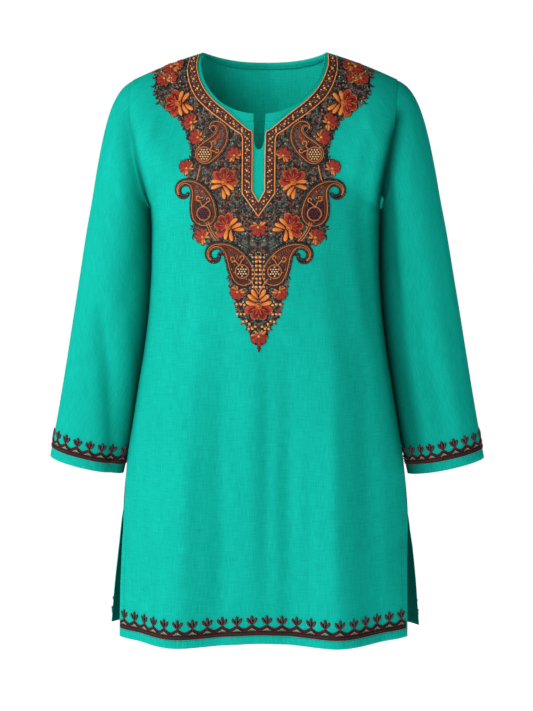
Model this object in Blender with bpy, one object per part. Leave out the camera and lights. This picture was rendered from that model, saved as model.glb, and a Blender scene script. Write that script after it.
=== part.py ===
"""A kurti in the shape it takes when worn: a long-sleeved, A-line tunic with side slits, a round
neck with a keyhole slit, and a raised embroidered yoke.

Metres, +Z up. The front faces -Y and +X is the wearer's left. The origin is the middle of the neck
opening on the shoulder line, where the shoulders of the wearer hold the garment up.
"""

import math

import bmesh
import bpy
import numpy as np
from mathutils import Vector
from mathutils.bvhtree import BVHTree

# Cloth, and the room left at the seams
WALL = 0.0015
HALF_SEAM = 0.00015
SLEEVE_GAP = 0.0004
UNDERARM_EASE = 0.0008

# Heights of the landmarks
UNDERARM_Z = -0.225
HEM_Z = -0.8565

# Neck and shoulder line, as seen from the front
NECK_HALF_WIDTH = 0.0893
NECK_DROP_FRONT = 0.0885
NECK_DROP_BACK = 0.0130
NECK_SQUARENESS = 2.15
BACK_NECK_SQUARENESS = 2.6
SHOULDER_TIP_X = 0.192
SHOULDER_TIP_Z = -0.0395
SHOULDER_SLOPE = 0.29
SHOULDER_BEND = 0.90
KEYHOLE_HALF_WIDTH = 0.0085
KEYHOLE_LOW_HALF_WIDTH = 0.0072
KEYHOLE_STRAIGHT_Z = -0.1220
KEYHOLE_BOTTOM_Z = -0.1385

# Cross-section of the body: depth falls off from the middle as (1 - s^BODY_FLATNESS)^(1/SIDE_TURN)
BODY_FLATNESS = 2.3
SIDE_TURN = 1.8

# Shoulder roll: below the start height a panel hangs, above it the cloth rolls back to the seam
ROLL_POWER = 2.2
ROLL_START_FRONT = -0.140
ROLL_START_BACK = -0.165
NECK_RISE_FRONT = 0.30
NECK_RISE_BACK = 0.28

# One row for each level of the body, for the front and the back: its widest point, its edge there
# (side seam, armhole or slit) and how far its middle stands forward or back.
BODY_COLUMNS = (
    "z",
    "front_widest", "front_edge_x", "front_edge_y", "front_middle_y",
    "back_widest", "back_edge_x", "back_edge_y", "back_middle_y",
)
BODY_LEVELS = (
    (-0.880, 0.2300, 0.2145, 0.0410, 0.1080, 0.2480, 0.2370, 0.0350, 0.1080),
    (-0.800, 0.2265, 0.2135, 0.0360, 0.1070, 0.2380, 0.2290, 0.0300, 0.1070),
    (-0.735, 0.2190, 0.2125, 0.0220, 0.1060, 0.2240, 0.2200, 0.0180, 0.1050),
    (-0.690, 0.2130, 0.2130, 0.0000, 0.1050, 0.2130, 0.2130, 0.0000, 0.1040),
    (-0.600, 0.2060, 0.2060, 0.0000, 0.1040, 0.2060, 0.2060, 0.0000, 0.1020),
    (-0.540, 0.1965, 0.1965, 0.0000, 0.1030, 0.1965, 0.1965, 0.0000, 0.0980),
    (-0.480, 0.1868, 0.1868, 0.0000, 0.1030, 0.1868, 0.1868, 0.0000, 0.0930),
    (-0.420, 0.1770, 0.1770, 0.0000, 0.1050, 0.1770, 0.1770, 0.0000, 0.0900),
    (-0.360, 0.1702, 0.1702, 0.0000, 0.1090, 0.1702, 0.1702, 0.0000, 0.0910),
    (-0.300, 0.1670, 0.1670, 0.0000, 0.1130, 0.1670, 0.1670, 0.0000, 0.0960),
    (-0.255, 0.1674, 0.1670, 0.0000, 0.1140, 0.1674, 0.1670, 0.0000, 0.0995),
    (-0.225, 0.1688, 0.1685, 0.0000, 0.1134, 0.1688, 0.1685, 0.0000, 0.1015),
    (-0.215, 0.1698, 0.1692, 0.0170, 0.1129, 0.1698, 0.1692, 0.0180, 0.1020),
    (-0.198, 0.1722, 0.1712, 0.0320, 0.1117, 0.1722, 0.1712, 0.0340, 0.1026),
    (-0.165, 0.1790, 0.1775, 0.0480, 0.1080, 0.1790, 0.1775, 0.0510, 0.1030),
    (-0.130, 0.1885, 0.1850, 0.0550, 0.1030, 0.1885, 0.1850, 0.0580, 0.1015),
    (-0.090, 0.1985, 0.1905, 0.0560, 0.0965, 0.1985, 0.1905, 0.0600, 0.0975),
    (-0.040, 0.2070, 0.1920, 0.0560, 0.0900, 0.2070, 0.1920, 0.0600, 0.0920),
    (0.060, 0.2110, 0.1920, 0.0560, 0.0880, 0.2110, 0.1920, 0.0600, 0.0900),
)

# Breadth of the strip beside an armhole where the panel opens out to its edge: it grows with the
# distance from the underarm point
EDGE_BREADTH_LEAST = 0.006
EDGE_BREADTH_MOST = 0.050
EDGE_SPREAD = 0.80

# One row for each fold that hangs in a panel: where it lies at its top and at the hem, how far it
# stands out (or in, if negative) there, its half breadth, and the height where it begins.
FOLD_COLUMNS = ("top_x", "hem_x", "top_out", "hem_out", "breadth", "start_z")
FRONT_FOLDS = (
    (-0.098, -0.130, 0.0020, 0.0190, 0.042, -0.250),
    (0.106, 0.124, 0.0020, 0.0195, 0.042, -0.250),
    (-0.050, -0.052, -0.0020, -0.0060, 0.030, -0.330),
    (-0.010, -0.008, 0.0015, -0.0060, 0.022, -0.330),
    (0.044, 0.040, -0.0020, -0.0090, 0.034, -0.330),
    (-0.168, -0.182, -0.0010, -0.0050, 0.020, -0.420),
    (0.168, 0.182, -0.0010, -0.0050, 0.020, -0.420),
)
BACK_FOLDS = (
    (-0.118, -0.140, 0.0015, 0.0150, 0.040, -0.300),
    (0.112, 0.134, 0.0015, 0.0160, 0.040, -0.300),
    (-0.062, -0.072, -0.0010, -0.0080, 0.030, -0.340),
    (0.000, 0.004, 0.0010, 0.0090, 0.034, -0.360),
    (0.060, 0.068, -0.0010, -0.0080, 0.030, -0.340),
)
FOLD_GROWTH = 1.25

# Hem line of the front: it hangs a little lower on one side and lifts between the two main folds
HEM_TILT = 0.020
HEM_LIFT = 0.0045
HEM_LIFT_BREADTH = 0.065

# One row for each ring of a sleeve below the armhole: its outer and inner ends seen from the
# front, the depth of its middle, how far it reaches forward and back of that, and how far its
# inner end is set back, so that it hangs just behind the side of the body.
SLEEVE_COLUMNS = ("outer_x", "outer_z", "inner_x", "inner_z", "middle_y", "reach_front", "reach_back", "set_back")
SLEEVE_RINGS = (
    (0.2078, -0.0512, 0.1708, -0.2258, 0.002, 0.0560, 0.0590, 0.003),
    (0.2222, -0.0740, 0.1705, -0.2278, 0.003, 0.0570, 0.0595, 0.010),
    (0.2342, -0.1088, 0.1695, -0.2330, 0.005, 0.0570, 0.0590, 0.017),
    (0.2474, -0.1670, 0.1678, -0.2450, 0.008, 0.0560, 0.0570, 0.021),
    (0.2560, -0.2137, 0.1665, -0.2660, 0.010, 0.0550, 0.0550, 0.022),
    (0.2656, -0.2620, 0.1652, -0.2950, 0.012, 0.0535, 0.0530, 0.022),
    (0.2755, -0.3190, 0.1664, -0.3450, 0.014, 0.0515, 0.0510, 0.020),
    (0.2870, -0.3850, 0.1728, -0.4110, 0.016, 0.0500, 0.0490, 0.016),
    (0.2985, -0.4530, 0.1838, -0.4790, 0.016, 0.0480, 0.0470, 0.011),
    (0.3105, -0.5220, 0.1980, -0.5480, 0.014, 0.0455, 0.0450, 0.005),
    (0.3245, -0.5955, 0.2140, -0.6205, 0.012, 0.0430, 0.0430, 0.000),
)
# How closely the set-back keeps to the inner end of a ring
SET_BACK_POWER = 6.0
# How much higher than in the table the cuffs hang, on the +X side and on the -X side
CUFF_RISE_LEFT = 0.0036
CUFF_RISE_RIGHT = -0.0018

# Grid sizes
ARMHOLE_STEPS = 12
LOWER_STEPS = 18
KEYHOLE_ROUND_COLUMNS = 2
KEYHOLE_SIDE_COLUMNS = 3
NECK_COLUMNS = 8
SHOULDER_COLUMNS = 7
BACK_NECK_COLUMNS = 6
SLEEVE_RING_STEPS = 16
SLEEVE_RING_GROWTH = 1.35

# Facing of the back neck, turned to the inside
FACING_HEIGHT = 0.0090
FACING_WALL = 0.0010
FACING_CLEARANCE = 0.0007
FACING_HALF_WIDTH = 0.0720
FACING_ACROSS = 20
FACING_DOWN = 2
FACING_TOP_MARGIN = 0.0018

# Raised border of the neck. One row for each place along one half of it, from the shoulder down
# to its point, with its inner and outer edges as seen from the front.
BORDER_CLEARANCE = 0.0006
BORDER_HEIGHT = 0.0012
BORDER_ROWS_BETWEEN = 3
BORDER_ACROSS = 3
BORDER_COLUMNS = ("inner_x", "inner_z", "outer_x", "outer_z")
BORDER_PLACES = (
    (0.0920, -0.0046, 0.1056, -0.0094),
    (0.0934, -0.0172, 0.1076, -0.0245),
    (0.0899, -0.0330, 0.1036, -0.0440),
    (0.0807, -0.0517, 0.0938, -0.0640),
    (0.0641, -0.0708, 0.0745, -0.0830),
    (0.0454, -0.0856, 0.0531, -0.0987),
    (0.0300, -0.0985, 0.0380, -0.1100),
    (0.0172, -0.1092, 0.0245, -0.1200),
    (0.0090, -0.1150, 0.0235, -0.1280),
    (0.0083, -0.1550, 0.0235, -0.1600),
    (0.0083, -0.1960, 0.0235, -0.1997),
    (0.0000, -0.2107, 0.0000, -0.2326),
)

CLOTH_COLOUR = (0.010, 0.420, 0.330, 1.0)
FACING_COLOUR = (0.008, 0.330, 0.260, 1.0)
BORDER_COLOUR = (0.300, 0.090, 0.030, 1.0)

# How the points of a panel's face are found from its front view
RAY_START_Y = 1.0
GRADIENT_STEP = 0.0005


def smoothstep(t):
    t = np.clip(t, 0.0, 1.0)
    return t * t * (3.0 - 2.0 * t)


def curve_through(at, knots, values):
    """A smooth curve through a table's values, flat at each turning point, so it never overshoots."""
    knots = np.asarray(knots, float)
    values = np.asarray(values, float)
    step = np.diff(knots)
    slope = np.diff(values) / step
    tangent = np.zeros_like(values)
    same_way = slope[1:] * slope[:-1] > 0
    total = np.where(same_way, slope[1:] + slope[:-1], 1.0)
    tangent[1:-1] = np.where(same_way, 2.0 * slope[1:] * slope[:-1] / total, 0.0)
    tangent[0] = slope[0]
    tangent[-1] = slope[-1]
    at = np.clip(np.asarray(at, float), knots[0], knots[-1])
    i = np.clip(np.searchsorted(knots, at, side="right") - 1, 0, len(step) - 1)
    t = (at - knots[i]) / step[i]
    rise = values[i + 1] - values[i]
    start = tangent[i] * step[i]
    end = tangent[i + 1] * step[i]
    return values[i] + t * (start + t * (3 * rise - 2 * start - end + t * (start + end - 2 * rise)))


def level(z, column):
    rows = np.array(BODY_LEVELS)
    return curve_through(z, rows[:, 0], rows[:, BODY_COLUMNS.index(column)])


def shoulder_ridge(x, neck_rise):
    """Height of the shoulder seam over x. Inside the neck it rises on, as the base of a neck does."""
    out = np.abs(x) - NECK_HALF_WIDTH
    slope = -SHOULDER_SLOPE * out - SHOULDER_BEND * out * out
    return np.where(out > 0, slope, -neck_rise * out)


def fold_offset(x, z, folds):
    """How far the hanging folds move the cloth outwards."""
    total = np.zeros(np.broadcast(x, z).shape)
    for top_x, hem_x, top_out, hem_out, breadth, start_z in folds:
        down = np.clip((start_z - z) / (start_z - HEM_Z), 0.0, 1.1)
        grown = np.where(down > 0, down, 0.0) ** FOLD_GROWTH
        middle = top_x + (hem_x - top_x) * down
        out = top_out * smoothstep(down * 6.0) + (hem_out - top_out) * grown
        total += out * np.exp(-(((x - middle) / breadth) ** 2))
    return total


def surface_y(x, z, side):
    """Depth of a panel's outer face over a point of its front view."""
    front = side == "front"
    widest = level(z, side + "_widest")
    edge_x = level(z, side + "_edge_x")
    middle = level(z, side + "_middle_y")
    start = ROLL_START_FRONT if front else ROLL_START_BACK
    ridge = shoulder_ridge(x, NECK_RISE_FRONT if front else NECK_RISE_BACK)
    h = np.clip((z - start) / (ridge - start), 0.0, 1.0)
    roll = np.sqrt(1.0 - h**ROLL_POWER)
    folds = fold_offset(x, z, FRONT_FOLDS if front else BACK_FOLDS)
    to_edge = np.clip(1.0 - np.abs(x) / edge_x, 0.0, 1.0)
    at_edge = level(z, side + "_edge_y") - middle * section(edge_x / widest)
    breadth = np.clip(EDGE_SPREAD * np.abs(z - UNDERARM_Z), EDGE_BREADTH_LEAST, EDGE_BREADTH_MOST)
    opened = at_edge * np.exp(-((to_edge * edge_x / breadth) ** 2))
    depth = (middle * section(np.abs(x) / widest) + opened) * roll + folds * smoothstep(to_edge * 5.0)
    return (-1.0 if front else 1.0) * (depth + HALF_SEAM)


def section(s):
    """The body's cross-section: its depth over the share s of its half width."""
    return (1.0 - np.clip(s, 0.0, 1.0) ** BODY_FLATNESS) ** (1.0 / SIDE_TURN)


def hem_height(x, side):
    if side == "back":
        return HEM_Z + 0.5 * HEM_TILT * x
    return HEM_Z + HEM_TILT * x + HEM_LIFT * np.exp(-((x / HEM_LIFT_BREADTH) ** 2))


def keyhole_edge():
    """Half of the keyhole slit, from its round foot up to the neckline."""
    turn = np.linspace(0.0, math.pi / 2, KEYHOLE_ROUND_COLUMNS + 1)
    foot = KEYHOLE_STRAIGHT_Z - KEYHOLE_BOTTOM_Z
    x = KEYHOLE_LOW_HALF_WIDTH * np.sin(turn)
    z = KEYHOLE_STRAIGHT_Z - foot * np.cos(turn)
    up = np.linspace(0.0, 1.0, KEYHOLE_SIDE_COLUMNS + 1)[1:]
    side_x = KEYHOLE_LOW_HALF_WIDTH + (KEYHOLE_HALF_WIDTH - KEYHOLE_LOW_HALF_WIDTH) * up
    side_z = KEYHOLE_STRAIGHT_Z + (neckline_z(KEYHOLE_HALF_WIDTH) - KEYHOLE_STRAIGHT_Z) * up
    return np.concatenate([x, side_x]), np.concatenate([z, side_z])


def neckline_z(x):
    share = np.clip(np.abs(x) / NECK_HALF_WIDTH, 0.0, 1.0)
    return -NECK_DROP_FRONT * (1.0 - share**NECK_SQUARENESS) ** (1.0 / NECK_SQUARENESS)


def shoulder_edge(columns):
    x = np.linspace(NECK_HALF_WIDTH, SHOULDER_TIP_X, columns + 1)[1:]
    return x, shoulder_ridge(x, 0.0)


def front_top_edge():
    """Half of the front's upper edge: keyhole, neckline and shoulder seam, one point a column."""
    key_x, key_z = keyhole_edge()
    first = math.asin((KEYHOLE_HALF_WIDTH / NECK_HALF_WIDTH) ** (NECK_SQUARENESS / 2))
    turn = np.linspace(first, math.pi / 2, NECK_COLUMNS + 1)[1:]
    neck_x = NECK_HALF_WIDTH * np.sin(turn) ** (2 / NECK_SQUARENESS)
    neck_z = -NECK_DROP_FRONT * np.cos(turn).clip(0.0) ** (2 / NECK_SQUARENESS)
    seam_x, seam_z = shoulder_edge(SHOULDER_COLUMNS)
    return np.concatenate([key_x, neck_x, seam_x]), np.concatenate([key_z, neck_z, seam_z])


def back_neckline_z(x):
    return -NECK_DROP_BACK * (1.0 - (np.abs(x) / NECK_HALF_WIDTH) ** BACK_NECK_SQUARENESS)


def back_top_edge():
    turn = np.linspace(0.0, math.pi / 2, BACK_NECK_COLUMNS + 1)
    neck_x = NECK_HALF_WIDTH * np.sin(turn)
    neck_z = back_neckline_z(neck_x)
    seam_x, seam_z = shoulder_edge(SHOULDER_COLUMNS)
    return np.concatenate([neck_x, seam_x]), np.concatenate([neck_z, seam_z])


def panel_grid(side):
    """Outer face of the front or back, as rows from the hem up and columns from side to side."""
    top_x, top_z = front_top_edge() if side == "front" else back_top_edge()
    even = np.sin(math.pi / 2 * np.linspace(0.0, 1.0, len(top_x)))
    top_share = top_x / level(top_z, side + "_edge_x")
    up = (1.0 - np.cos(math.pi * np.linspace(0.0, 1.0, ARMHOLE_STEPS + 1))) / 2
    upper_z = UNDERARM_Z + (top_z[None, :] - UNDERARM_Z) * up[:, None]
    lean = smoothstep(up)[:, None]
    upper_share = even[None, :] * (1.0 - lean) + top_share[None, :] * lean
    upper_x = upper_share * level(upper_z, side + "_edge_x")
    upper_x = np.concatenate([-upper_x[:, :0:-1], upper_x], axis=1)
    upper_z = np.concatenate([upper_z[:, :0:-1], upper_z], axis=1)
    across = np.concatenate([-even[:0:-1], even])
    down = np.linspace(1.0, 0.0, LOWER_STEPS + 1)[:-1, None]
    hem = hem_height(across * level(HEM_Z, side + "_edge_x"), side)[None, :]
    lower_z = UNDERARM_Z + (hem - UNDERARM_Z) * down
    lower_x = across[None, :] * level(lower_z, side + "_edge_x")
    x = np.concatenate([lower_x, upper_x])
    z = np.concatenate([lower_z, upper_z])
    return np.stack([x, surface_y(x, z, side), z], axis=-1)


def grid_normals(grid, around):
    """Unit normals of a grid of points, by differences along its rows and columns."""
    rows = np.gradient(grid, axis=0)
    if around:
        columns = (np.roll(grid, -1, axis=1) - np.roll(grid, 1, axis=1)) / 2
    else:
        columns = np.gradient(grid, axis=1)
    normal = np.cross(columns, rows)
    return normal / np.linalg.norm(normal, axis=-1, keepdims=True)


def inner_face(grid, side):
    """The inside of a panel: its points moved in by the wall, along the seam's plane at a seam."""
    outward = grid_normals(grid, False)
    outward *= np.sign(outward[..., 1:2]) * (-1.0 if side == "front" else 1.0)
    at_seam = np.abs(grid[..., 1]) < 1.5 * HALF_SEAM
    outward[at_seam, 1] = 0.0
    outward /= np.linalg.norm(outward, axis=-1, keepdims=True)
    return grid - WALL * outward


def wall_faces(rows, columns, around):
    """Quads of a wall's outer face, inner face and rims. The inner points follow the outer ones."""
    outer = np.arange(rows * columns).reshape(rows, columns)
    if around:
        outer = np.concatenate([outer, outer[:, :1]], axis=1)
    inner = outer + rows * columns

    def strips(a, b, c, d):
        return np.stack([a, b, c, d], axis=-1).reshape(-1, 4)

    faces = [
        strips(outer[:-1, :-1], outer[:-1, 1:], outer[1:, 1:], outer[1:, :-1]),
        strips(inner[:-1, :-1], inner[1:, :-1], inner[1:, 1:], inner[:-1, 1:]),
        strips(outer[0, :-1], inner[0, :-1], inner[0, 1:], outer[0, 1:]),
        strips(outer[-1, :-1], outer[-1, 1:], inner[-1, 1:], inner[-1, :-1]),
    ]
    if not around:
        faces.append(strips(outer[:-1, 0], outer[1:, 0], inner[1:, 0], inner[:-1, 0]))
        faces.append(strips(outer[:-1, -1], inner[:-1, -1], inner[1:, -1], outer[1:, -1]))
    return np.concatenate(faces)


def material(name, colour, roughness):
    made = bpy.data.materials.new(name)
    made.use_nodes = True
    shader = made.node_tree.nodes["Principled BSDF"]
    shader.inputs["Base Color"].default_value = colour
    shader.inputs["Roughness"].default_value = roughness
    shader.inputs["Metallic"].default_value = 0.0
    made.diffuse_color = colour
    return made


def add_solid(name, points, faces, finish):
    mesh = bpy.data.meshes.new(name)
    mesh.from_pydata(np.asarray(points).reshape(-1, 3).tolist(), [], [list(map(int, f)) for f in faces])
    shell = bmesh.new()
    shell.from_mesh(mesh)
    bmesh.ops.remove_doubles(shell, verts=shell.verts, dist=1e-6)
    bmesh.ops.triangulate(shell, faces=shell.faces, quad_method="SHORT_EDGE")
    bmesh.ops.recalc_face_normals(shell, faces=shell.faces)
    shell.to_mesh(mesh)
    shell.free()
    mesh.materials.append(finish)
    mesh.shade_smooth()
    mesh.set_sharp_from_angle(angle=math.radians(40))
    solid = bpy.data.objects.new(name, mesh)
    bpy.context.scene.collection.objects.link(solid)
    return solid


def add_wall(name, outer, inner, finish, around=False):
    faces = wall_faces(outer.shape[0], outer.shape[1], around)
    return add_solid(name, np.concatenate([outer.reshape(-1, 3), inner.reshape(-1, 3)]), faces, finish)


def armhole_loop(front, back, mirror):
    """Points of the armhole from the shoulder tip down the front and up the back."""
    column = -1 if mirror > 0 else 0
    front_edge = front[LOWER_STEPS:, column]
    back_edge = back[LOWER_STEPS:, column]
    down = front_edge[::-1].copy()
    up = back_edge[1:-1]
    down[0, 1] = 0.0
    down[-1, 1] = 0.0
    return np.concatenate([down, up])


def sleeve_rings(loop, mirror):
    """Rings of one sleeve: the armhole, moved clear of it, then the rows of the table."""
    count = len(loop)
    turn = 2 * math.pi * np.arange(count) / count
    clear = loop.copy()
    low = smoothstep((SHOULDER_TIP_Z - loop[:, 2]) / (SHOULDER_TIP_Z - UNDERARM_Z))
    clear[:, 0] += mirror * (SLEEVE_GAP + UNDERARM_EASE * low)
    rings = [clear]
    inwards = ((1.0 - np.cos(turn)) / 2) ** SET_BACK_POWER
    cuff_rise = CUFF_RISE_LEFT if mirror > 0 else CUFF_RISE_RIGHT
    rises = cuff_rise * smoothstep(np.linspace(0.0, 1.0, len(SLEEVE_RINGS)))
    for row, rise in zip(SLEEVE_RINGS, rises):
        outer_x, outer_z, inner_x, inner_z, middle_y, reach_front, reach_back, set_back = row
        middle = np.array([(outer_x + inner_x) / 2, middle_y, (outer_z + inner_z) / 2])
        half = np.array([(outer_x - inner_x) / 2, 0.0, (outer_z - inner_z) / 2])
        reach = np.where(np.sin(turn) > 0, -reach_front, reach_back)
        ring = middle + np.cos(turn)[:, None] * half
        ring[:, 1] += reach * np.abs(np.sin(turn)) + set_back * inwards
        ring[:, 2] += rise
        ring[:, 0] *= mirror
        rings.append(ring)
    return np.array(rings)


def along_rings(rings, steps):
    """More rings, on a smooth curve through the given ones, close together at the shoulder."""
    spans = np.linalg.norm(np.diff(rings[:, 0], axis=0), axis=1)
    at = np.concatenate([[0.0], np.cumsum(spans)])
    wanted = at[-1] * np.linspace(0.0, 1.0, steps + 1) ** SLEEVE_RING_GROWTH
    flat = rings.reshape(len(rings), -1)
    resampled = np.stack([curve_through(wanted, at, flat[:, i]) for i in range(flat.shape[1])], axis=1)
    return resampled.reshape(len(wanted), rings.shape[1], 3)


def add_sleeve(name, front, back, mirror, finish):
    loop = armhole_loop(front, back, mirror)
    outer = along_rings(sleeve_rings(loop, mirror), SLEEVE_RING_STEPS)
    normal = grid_normals(outer, True)
    towards = outer - outer.mean(axis=1, keepdims=True)
    normal *= np.sign((normal * towards).sum(-1, keepdims=True))
    return add_wall(name, outer, outer - WALL * normal, finish, around=True)


def outward_normal(x, z, side):
    """Unit normals of a panel's face at points of its front view, pointing out of the garment."""
    step = GRADIENT_STEP
    slope_x = (surface_y(x + step, z, side) - surface_y(x - step, z, side)) / (2 * step)
    slope_z = (surface_y(x, z + step, side) - surface_y(x, z - step, side)) / (2 * step)
    normal = np.stack([slope_x, -np.ones_like(slope_x), slope_z], axis=-1)
    if side == "back":
        normal = -normal
    return normal / np.linalg.norm(normal, axis=-1, keepdims=True)


def on_panel(panel, x, z, side, inside, clearance):
    """Points just off a panel's outer or inner face, and its outward normals, over its front view."""
    mesh = panel.data
    tree = BVHTree.FromPolygons([v.co for v in mesh.vertices], [p.vertices for p in mesh.polygons])
    far = 0.0 if inside else RAY_START_Y
    start = -far if side == "front" else far
    towards = 1.0 if (side == "front") != inside else -1.0
    points = np.empty(x.shape + (3,))
    for place in np.ndindex(x.shape):
        hit, facing = tree.ray_cast(Vector((x[place], start, z[place])), Vector((0.0, towards, 0.0)))[:2]
        if hit is None:
            raise ValueError(f"nothing of the {side} lies over x={x[place]:.4f}, z={z[place]:.4f}")
        points[place] = hit + clearance * facing
    return points, outward_normal(x, z, side)


def border_grid():
    """Front view of the whole border, in rows along it and columns from its inner to outer edge."""
    rows = np.array(BORDER_PLACES)
    at = np.linspace(0.0, len(rows) - 1.0, (len(rows) - 1) * BORDER_ROWS_BETWEEN + 1)
    half = np.stack([np.interp(at, np.arange(len(rows)), rows[:, i]) for i in range(4)], axis=1)
    share = np.linspace(0.0, 1.0, BORDER_ACROSS + 1)
    x = half[:, 0:1] + (half[:, 2:3] - half[:, 0:1]) * share
    z = half[:, 1:2] + (half[:, 3:4] - half[:, 1:2]) * share
    return np.concatenate([x, -x[-2::-1]]), np.concatenate([z, z[-2::-1]])


def add_border(front, finish):
    x, z = border_grid()
    under, normal = on_panel(front, x, z, "front", False, BORDER_CLEARANCE)
    return add_wall("neck_border", under + BORDER_HEIGHT * normal, under, finish)


def add_facing(back, finish):
    x = np.linspace(-FACING_HALF_WIDTH, FACING_HALF_WIDTH, FACING_ACROSS + 1)
    share = np.linspace(0.0, 1.0, FACING_DOWN + 1)
    top = back_neckline_z(x) - FACING_TOP_MARGIN
    z = top[None, :] - FACING_HEIGHT * share[:, None]
    x = np.broadcast_to(x, z.shape)
    outer, normal = on_panel(back, x, z, "back", True, FACING_CLEARANCE)
    return add_wall("back_neck_facing", outer, outer - FACING_WALL * normal, finish)


def clear_scene():
    for thing in list(bpy.data.objects):
        bpy.data.objects.remove(thing, do_unlink=True)


def build():
    clear_scene()
    cloth = material("teal_cloth", CLOTH_COLOUR, 0.85)
    facing_cloth = material("teal_facing", FACING_COLOUR, 0.85)
    thread = material("embroidery", BORDER_COLOUR, 0.6)
    front = panel_grid("front")
    back = panel_grid("back")
    front_panel = add_wall("front", front, inner_face(front, "front"), cloth)
    back_panel = add_wall("back", back, inner_face(back, "back"), cloth)
    add_border(front_panel, thread)
    add_facing(back_panel, facing_cloth)
    add_sleeve("sleeve_left", front, back, 1.0, cloth)
    add_sleeve("sleeve_right", front, back, -1.0, cloth)


build()
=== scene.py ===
import math

import bpy
import numpy as np
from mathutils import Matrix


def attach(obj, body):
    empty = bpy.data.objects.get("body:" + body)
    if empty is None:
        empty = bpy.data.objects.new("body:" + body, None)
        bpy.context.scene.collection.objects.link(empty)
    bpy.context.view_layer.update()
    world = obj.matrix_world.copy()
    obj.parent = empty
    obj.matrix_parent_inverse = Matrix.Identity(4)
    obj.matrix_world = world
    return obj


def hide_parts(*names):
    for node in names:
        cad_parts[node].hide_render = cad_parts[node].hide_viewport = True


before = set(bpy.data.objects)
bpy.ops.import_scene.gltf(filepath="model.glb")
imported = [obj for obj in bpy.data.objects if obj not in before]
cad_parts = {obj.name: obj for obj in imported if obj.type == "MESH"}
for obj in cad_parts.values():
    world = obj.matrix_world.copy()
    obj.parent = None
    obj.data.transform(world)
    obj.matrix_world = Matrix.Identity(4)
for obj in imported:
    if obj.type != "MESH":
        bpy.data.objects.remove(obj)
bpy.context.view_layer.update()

bl_info = {
    "name": "Embroidered kurti",
    "version": (1, 0, 0),
    "blender": (4, 5, 0),
    "location": "View3D > Sidebar > Kurti",
    "description": "Builds the cloth, embroidery and studio of a kurti round its solids",
    "category": "Object",
}

# Sizes shared with the solids, in metres. The seams are drawn closer than the solids' gaps

WALL = 0.0015
HALF_SEAM = 0.00003
SLEEVE_GAP = 0.00006
SEAM_DITCH = 0.0011
SEAM_BREADTH = 0.0028
UNDERARM_Z = -0.225
SLIT_TOP_Z = -0.690
HEM_Z = -0.8565
NECK_HALF_WIDTH = 0.0893
NECK_DROP_FRONT = 0.0885
NECK_DROP_BACK = 0.0130
NECK_SQUARENESS = 2.15
BACK_NECK_SQUARENESS = 2.6
SHOULDER_TIP_X = 0.192
SHOULDER_SLOPE = 0.29
SHOULDER_BEND = 0.90
KEYHOLE_HALF_WIDTH = 0.0085
KEYHOLE_LOW_HALF_WIDTH = 0.0072
KEYHOLE_STRAIGHT_Z = -0.1220
KEYHOLE_BOTTOM_Z = -0.1385
BODY_FLATNESS = 2.3
SIDE_TURN = 1.8
ROLL_POWER = 2.2
ROLL_START = {"front": -0.140, "back": -0.165}
NECK_RISE = {"front": 0.30, "back": 0.28}

# One row for each level of the body, for the front and the back: its widest point, its edge's place
# and depth there, and how far its middle stands forward or back
BODY_COLUMNS = (
    "z",
    "front_widest", "front_edge_x", "front_edge_y", "front_middle_y",
    "back_widest", "back_edge_x", "back_edge_y", "back_middle_y",
)
BODY_LEVELS = (
    (-0.880, 0.2300, 0.2145, 0.0410, 0.1080, 0.2480, 0.2370, 0.0350, 0.1080),
    (-0.800, 0.2265, 0.2135, 0.0360, 0.1070, 0.2380, 0.2290, 0.0300, 0.1070),
    (-0.735, 0.2190, 0.2125, 0.0220, 0.1060, 0.2240, 0.2200, 0.0180, 0.1050),
    (-0.690, 0.2130, 0.2130, 0.0000, 0.1050, 0.2130, 0.2130, 0.0000, 0.1040),
    (-0.600, 0.2060, 0.2060, 0.0000, 0.1040, 0.2060, 0.2060, 0.0000, 0.1020),
    (-0.540, 0.1965, 0.1965, 0.0000, 0.1030, 0.1965, 0.1965, 0.0000, 0.0980),
    (-0.480, 0.1868, 0.1868, 0.0000, 0.1030, 0.1868, 0.1868, 0.0000, 0.0930),
    (-0.420, 0.1770, 0.1770, 0.0000, 0.1050, 0.1770, 0.1770, 0.0000, 0.0900),
    (-0.360, 0.1702, 0.1702, 0.0000, 0.1090, 0.1702, 0.1702, 0.0000, 0.0910),
    (-0.300, 0.1670, 0.1670, 0.0000, 0.1130, 0.1670, 0.1670, 0.0000, 0.0960),
    (-0.255, 0.1674, 0.1670, 0.0000, 0.1140, 0.1674, 0.1670, 0.0000, 0.0995),
    (-0.225, 0.1688, 0.1685, 0.0000, 0.1134, 0.1688, 0.1685, 0.0000, 0.1015),
    (-0.215, 0.1698, 0.1692, 0.0170, 0.1129, 0.1698, 0.1692, 0.0180, 0.1020),
    (-0.198, 0.1722, 0.1712, 0.0320, 0.1117, 0.1722, 0.1712, 0.0340, 0.1026),
    (-0.165, 0.1790, 0.1775, 0.0480, 0.1080, 0.1790, 0.1775, 0.0510, 0.1030),
    (-0.130, 0.1885, 0.1850, 0.0550, 0.1030, 0.1885, 0.1850, 0.0580, 0.1015),
    (-0.090, 0.1985, 0.1905, 0.0560, 0.0965, 0.1985, 0.1905, 0.0600, 0.0975),
    (-0.040, 0.2070, 0.1920, 0.0560, 0.0900, 0.2070, 0.1920, 0.0600, 0.0920),
    (0.060, 0.2110, 0.1920, 0.0560, 0.0880, 0.2110, 0.1920, 0.0600, 0.0900),
)
EDGE_BREADTH_LEAST = 0.006
EDGE_BREADTH_MOST = 0.050
EDGE_SPREAD = 0.80

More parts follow.
